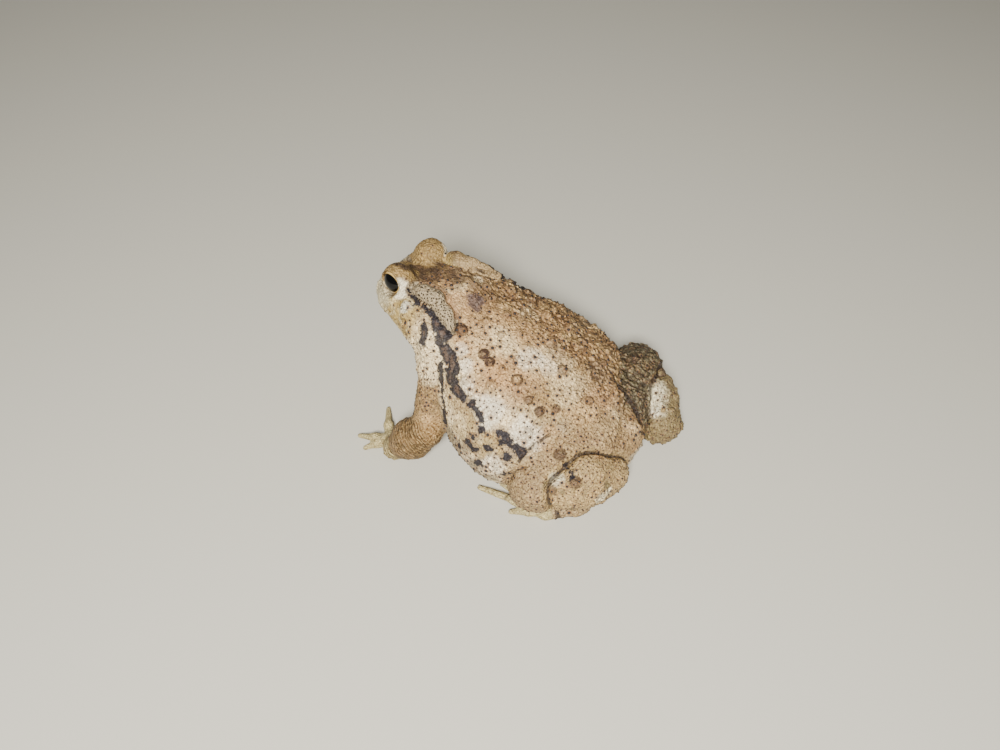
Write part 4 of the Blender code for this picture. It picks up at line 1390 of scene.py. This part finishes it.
def skin_material():
    material, wire, shader = new_material("skin")
    place = wire.node("ShaderNodeTexCoord", out=3)
    coat = attribute(wire, "coat", 0)
    arm, row, stripe, line, crease_shade = (
        attribute(wire, name) for name in ("arm", "row", "stripe", "line", "crease_shade")
    )
    wart, ring, top, spot, halo = (
        attribute(wire, name) for name in ("wart", "ring", "top", "spot", "halo")
    )
    pores, gland_along, gland_around, plain, rugged = (
        attribute(wire, name) for name in ("pores", "gland_along", "gland_around", "plain", "rugged")
    )
    specks = wire.node("ShaderNodeTexNoise", Vector=place, Scale=2100.0, Detail=3.0, Roughness=0.65)
    patches = wire.node("ShaderNodeTexNoise", Vector=place, Scale=600.0, Detail=2.0, Roughness=0.5)
    pebble = wire.node("ShaderNodeTexVoronoi", Vector=place, Scale=1250.0, Randomness=1.0)
    lines = wire.node("ShaderNodeTexVoronoi", {"feature": "DISTANCE_TO_EDGE"}, Vector=place, Scale=520.0)
    caps = wire.node("ShaderNodeTexVoronoi", Vector=place, Scale=680.0, Randomness=1.0)
    dots = wire.node("ShaderNodeTexVoronoi", Vector=place, Scale=760.0, Randomness=1.0)
    grid = wire.node("ShaderNodeCombineXYZ", X=gland_along, Y=gland_around)
    flat = {"voronoi_dimensions": "2D"}
    holes = wire.node("ShaderNodeTexVoronoi", flat, Vector=grid, Scale=1.05, Randomness=0.75)
    jitter = (specks - 0.5) * 1.1
    waves = wire.node("ShaderNodeTexNoise", Vector=place, Scale=280.0, Detail=2.0)
    ridge = wire.maths("SINE", row * 6.6 + waves * 14.0 + patches * 4.0) * 0.5 + 0.5
    gaps = pebble.step(0.25, 0.75)
    cuts = 1.0 - lines.step(0.0, 0.07)
    # Painted shade in the low places of the fine relief: gaps between pebbles, cuts, low specks and the
    # valleys of the forearm ridges, which the bump below sinks
    relief_shade = gaps * 0.26 + cuts * 0.26 + specks.step(0.52, 0.36) * 0.42 + arm * ridge * 0.42
    colour = wire.maths("MINIMUM", relief_shade, 1.0).tint(coat, (0.34, 0.24, 0.15))
    # Painted light on the raised tops of the pebbles, in patches
    colour = (patches.step(0.46, 0.66) * (1.0 - gaps)).tint(colour, (1.45, 1.42, 1.36))
    # Painted shade between the raised caps of the rugged skin, and a painted highlight on their tops
    colour = (rugged * (caps + jitter * 0.15).step(0.40, 0.72)).tint(colour, (0.22, 0.17, 0.12))
    colour = (rugged * (caps + jitter * 0.15).step(0.32, 0.12)).tint(colour, (2.0, 2.05, 2.0))
    colour = ((wart + jitter * 0.3).step(1.15, 0.60) * top * 0.9).mix(colour, WART_TOP)
    rim = wire.maths("ABSOLUTE", wart + jitter * 0.35 - 0.98)
    colour = (rim.step(0.30, 0.08) * ring * (patches.step(0.35, 0.50) * 0.4 + 0.6)).mix(colour, RING)
    open_skin = 1.0 - plain
    colour = ((dots + jitter * 0.05).step(0.30, 0.18) * open_skin * 0.5).mix(colour, HALO)
    colour = ((spot + jitter * 0.4).step(1.3, 0.5) * (halo * 0.7 + 0.1)).mix(colour, HALO)
    mark = (stripe + jitter * 1.6 + (patches - 0.5) * 2.0).step(0.50, -0.05)
    inside = (stripe + jitter + (patches - 0.5) * 3.0).step(-0.8, -1.5)
    colour = (mark * 0.96).mix(colour, (inside * 0.6).mix(STRIPE, STRIPE_INSIDE))
    # Painted shade along the deep creases
    colour = (line.step(0.38, 0.05) * 0.85).mix(colour, DARK_SPOT_AND_SHADE)
    # Painted shade in the creases round the joined parts
    colour = (crease_shade.step(0.25, 0.75) * 0.85).mix(colour, DARK_SPOT_AND_SHADE)
    colour = ((dots + jitter * 0.04).step(0.20, 0.13) * open_skin * 0.9).mix(colour, DARK_SPOT_AND_SHADE)
    colour = ((spot + jitter * 0.3).step(0.60, 0.38) * 0.95).mix(colour, DARK_SPOT_AND_SHADE)
    colour = ((holes + jitter * 0.06).step(0.27, 0.18) * pores * 0.95).mix(colour, DARK_SPOT_AND_SHADE)
    colour = ((wart + jitter * 0.15).step(0.34, 0.20) * ring * 0.95).mix(colour, DARK_SPOT_AND_SHADE)
    wire.feed(shader, "Base Color", colour)
    wire.feed(shader, "Roughness", specks * 0.3 + 0.42)
    shader.inputs["Specular IOR Level"].default_value = 0.35
    height = (1.0 - gaps) * 0.5 + specks * 0.5 - cuts * 0.3 - arm * ridge * 1.1
    height = height - rim.step(0.3, 0.02) * ring * 0.8 - holes.step(0.32, 0.1) * pores * 0.8
    height = height + rugged * caps.step(0.7, 0.1) * 1.6
    bump = wire.node("ShaderNodeBump", Strength=1.0, Distance=0.00045, Height=height)
    wire.feed(shader, "Normal", bump)
    return material


def arm_rows(mesh, points):
    """Marks the forearms, and how far along them each point lies, for their cross ridges."""
    mask, along = np.zeros(len(points)), np.zeros(len(points))
    for side in SIDES:
        shape = arm_limbs(side)["forearm"][0]
        near = soft(shape(*points.T) - 0.4, 1.2)
        elbow, wrist = (np.array(ARMS[side][k]) for k in ("elbow", "wrist"))
        mask = np.maximum(mask, near)
        along = np.where(near > 0, (points - elbow) @ unit(wrist - elbow), along)
    store(mesh, "arm", mask)
    store(mesh, "row", along)


def make_skin():
    mesh, clay, warts, roots, out, sizes = skin_mesh()
    skin = add_object("toad_skin", mesh)
    fewer = skin.modifiers.new("fewer faces", "DECIMATE")
    fewer.ratio = min(1.0, SKIN_TRIANGLES / (2 * len(mesh.polygons)))
    view = bpy.context.evaluated_depsgraph_get()
    mesh = bpy.data.meshes.new_from_object(skin.evaluated_get(view))
    skin.modifiers.clear()
    skin.data = mesh
    mesh.name = "toad_skin"
    points = read(mesh.vertices, "co") / MM + CENTRE
    where = Regions(points, read(mesh.vertex_normals, "vector"))
    shades = np.ones((len(points), 4))
    shades[:, :3] = paint(where)
    mesh.attributes.new("coat", "FLOAT_COLOR", "POINT").data.foreach_set("color", shades.ravel())
    # How deep the joins' creases are at each point, for painted shade in them
    crease_shade = sample(clay, "crease_shade", points)
    for name, values in mark_distances(where, warts, roots, sizes, crease_shade).items():
        store(mesh, name, values)
    arm_rows(mesh, points)
    mesh.shade_smooth()
    mesh.materials.append(skin_material())
    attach(skin, "root")
    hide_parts(*[name for name in frame["nodes"] if not name.startswith("eye_")])
    return roots, out, sizes


roots, root_ways, root_sizes = make_skin()


# Tubercles
# Small horny points that stand out of the skin all over the back, flanks and legs. Each is a low
# near-black cap, darkest at its tip, set with its foot in the skin.

TUBERCLE_RADIUS = 0.38
TUBERCLE_HEIGHT = 0.24
TUBERCLE_RINGS = ((1.0, -0.4), (0.82, 0.4), (0.46, 0.86))
TUBERCLE_SIDES = 5
TUBERCLE_COLOUR = (0.022, 0.014, 0.010)
TUBERCLE_TIP = (0.007, 0.006, 0.006)


def turns(count):
    return np.arange(count) * 2 * np.pi / count


def tubercle_mesh():
    round_it = turns(TUBERCLE_SIDES)
    points = [(r * np.cos(a), r * np.sin(a), h) for r, h in TUBERCLE_RINGS for a in round_it] + [(0, 0, 1)]
    size = np.array((TUBERCLE_RADIUS, TUBERCLE_RADIUS, TUBERCLE_HEIGHT)) * MM
    faces = []
    for ring in range(len(TUBERCLE_RINGS) - 1):
        for k in range(TUBERCLE_SIDES):
            a, b = ring * TUBERCLE_SIDES + k, ring * TUBERCLE_SIDES + (k + 1) % TUBERCLE_SIDES
            faces.append((a, b, b + TUBERCLE_SIDES, a + TUBERCLE_SIDES))
    top = len(points) - 1
    last = top - TUBERCLE_SIDES
    faces += [(last + k, last + (k + 1) % TUBERCLE_SIDES, top) for k in range(TUBERCLE_SIDES)]
    mesh = bpy.data.meshes.new("tubercle")
    mesh.from_pydata((np.array(points) * size).tolist(), [], faces)
    store(mesh, "rise", [p[2] for p in points])
    mesh.shade_smooth()
    return mesh


def tubercle_material():
    material, wire, shader = new_material("tubercles")
    rise = attribute(wire, "rise")
    place = wire.node("ShaderNodeTexCoord", out=3)
    specks = wire.node("ShaderNodeTexNoise", Vector=place, Scale=2500.0, Detail=2.0)
    colour = (rise + (specks - 0.5) * 0.4).step(0.0, 0.55).mix(TUBERCLE_COLOUR, TUBERCLE_TIP)
    wire.feed(shader, "Base Color", colour)
    wire.feed(shader, "Roughness", specks * 0.3 + 0.35)
    return material


def scatter_tree(shape, material):
    """A node tree that sets a copy of a shape on every point, turned and sized as the point says."""
    tree = bpy.data.node_groups.new("scatter", "GeometryNodeTree")
    tree.interface.new_socket("Geometry", in_out="INPUT", socket_type="NodeSocketGeometry")
    tree.interface.new_socket("Shape", in_out="INPUT", socket_type="NodeSocketObject")
    tree.interface.new_socket("Geometry", in_out="OUTPUT", socket_type="NodeSocketGeometry")
    nodes, link = tree.nodes, tree.links.new
    source, sink = nodes.new("NodeGroupInput"), nodes.new("NodeGroupOutput")
    info = nodes.new("GeometryNodeObjectInfo")
    link(source.outputs["Shape"], info.inputs["Object"])
    named = {}
    for name, kind in (("out", "FLOAT_VECTOR"), ("size", "FLOAT")):
        read = nodes.new("GeometryNodeInputNamedAttribute")
        read.data_type = kind
        read.inputs["Name"].default_value = name
        named[name] = read.outputs["Attribute"]
    turn = nodes.new("FunctionNodeAlignEulerToVector")
    turn.axis = "Z"
    link(named["out"], turn.inputs["Vector"])
    place = nodes.new("GeometryNodeInstanceOnPoints")
    link(source.outputs["Geometry"], place.inputs["Points"])
    link(info.outputs["Geometry"], place.inputs["Instance"])
    link(turn.outputs["Rotation"], place.inputs["Rotation"])
    link(named["size"], place.inputs["Scale"])
    real = nodes.new("GeometryNodeRealizeInstances")
    link(place.outputs["Instances"], real.inputs["Geometry"])
    finish = nodes.new("GeometryNodeSetMaterial")
    finish.inputs["Material"].default_value = material
    link(real.outputs["Geometry"], finish.inputs["Geometry"])
    link(finish.outputs["Geometry"], sink.inputs["Geometry"])
    return tree


def make_tubercles(roots, ways, sizes):
    shape = add_object("tubercle_shape", tubercle_mesh())
    places = (roots - CENTRE) * MM
    mesh = bpy.data.meshes.new("tubercles")
    mesh.from_pydata(places.tolist(), [], [])
    mesh.attributes.new("out", "FLOAT_VECTOR", "POINT").data.foreach_set("vector", ways.ravel())
    store(mesh, "size", sizes)
    piece = add_object("tubercles", mesh)
    tree = scatter_tree(shape, tubercle_material())
    scatter = piece.modifiers.new("scatter", "NODES")
    scatter.node_group = tree
    slot = next(s for s in tree.interface.items_tree if s.name == "Shape")
    scatter[slot.identifier] = shape
    view = bpy.context.evaluated_depsgraph_get()
    made = bpy.data.meshes.new_from_object(piece.evaluated_get(view))
    piece.modifiers.clear()
    piece.data = made
    bpy.data.objects.remove(shape)
    unwrap_tubercles(made, roots, len(made.vertices) // len(roots))
    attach(piece, "root")


PATCH = 0.003


def unwrap_tubercles(mesh, roots, each):
    """Gives each tubercle a small patch at its root's place on the skin, unrolled about the trunk."""
    across = trunk_angles(roots) / 360 + 0.5
    along = (roots[:, 1] - BOX_LOW[1]) / (BOX_HIGH[1] - BOX_LOW[1])
    ring = np.array([(np.cos(turn), np.sin(turn)) for turn in turns(TUBERCLE_SIDES)])
    local = np.concatenate([ring * r for r, _ in TUBERCLE_RINGS] + [np.zeros((1, 2))]) * PATCH / 2
    spots = np.stack((across, along), axis=1)[:, None] + local[None]
    spots = spots.reshape(-1, 2)
    corners = np.empty(len(mesh.loops), int)
    mesh.loops.foreach_get("vertex_index", corners)
    layer = mesh.uv_layers.new(name="OFBake")
    layer.data.foreach_set("uv", spots[corners].ravel())


make_tubercles(roots, root_ways, root_sizes)


# Eyes
# Two wet eyeballs between the lids: a wide black pupil, a thin gold ring round it, and a clear
# bulging surface with a bright gloss.

EYE_RINGS = 48
EYE_SEGMENTS = 64
PUPIL_ACROSS = 3.3
PUPIL_HIGH = 2.95
GOLD = (0.55, 0.36, 0.12)
IRIS = (0.10, 0.055, 0.02)
PUPIL = (0.002, 0.002, 0.002)


def eye_material():
    material, wire, shader = new_material("eyes")
    away = attribute(wire, "away")
    place = wire.node("ShaderNodeTexCoord", out=3)
    streaks = wire.node("ShaderNodeTexNoise", Vector=place, Scale=1800.0, Detail=4.0)
    ring = (away + (streaks - 0.5) * 0.25).step(1.25, 1.55)
    iris = ring.mix(GOLD, IRIS)
    colour = away.step(1.0, 1.08).mix(PUPIL, iris)
    wire.feed(shader, "Base Color", colour)
    wire.feed(shader, "Roughness", streaks * 0.1 + 0.02)
    shader.inputs["Specular IOR Level"].default_value = 0.2
    shader.inputs["Coat Weight"].default_value = 0.12
    shader.inputs["Coat Roughness"].default_value = 0.02
    return material


def make_eye(side, sign, material):
    axis = mirrored(EYE_AXIS, sign)
    rear = unit(np.cross((0, 0, 1), axis))
    up = np.cross(axis, rear)
    points, away = [], []
    for ring in range(EYE_RINGS + 1):
        lean = np.pi * ring / EYE_RINGS
        for turn in turns(EYE_SEGMENTS):
            across, high = np.sin(lean) * np.cos(turn), np.sin(lean) * np.sin(turn)
            points.append((axis * np.cos(lean) + rear * across + up * high) * (EYEBALL_RADIUS - 0.1))
            far = np.hypot(across * EYEBALL_RADIUS / PUPIL_ACROSS, high * EYEBALL_RADIUS / PUPIL_HIGH)
            away.append(far if lean < 1.6 else 3)
    points = np.array([from_head(p + mirrored(EYE, sign)) for p in points])
    faces = []
    for ring in range(EYE_RINGS):
        for k in range(EYE_SEGMENTS):
            a, b = ring * EYE_SEGMENTS + k, ring * EYE_SEGMENTS + (k + 1) % EYE_SEGMENTS
            faces.append((a, a + EYE_SEGMENTS, b + EYE_SEGMENTS, b))
    mesh = bpy.data.meshes.new(f"eyeball_{side}")
    mesh.from_pydata(((points - CENTRE) * MM).tolist(), [], faces)
    store(mesh, "away", away)
    mesh.shade_smooth()
    mesh.materials.append(material)
    ball = add_object(f"eyeball_{side}", mesh)
    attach(ball, "root")
    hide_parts(f"eye_{side}")


eyes_finish = eye_material()
for side, sign in SIDES.items():
    make_eye(side, sign, eyes_finish)
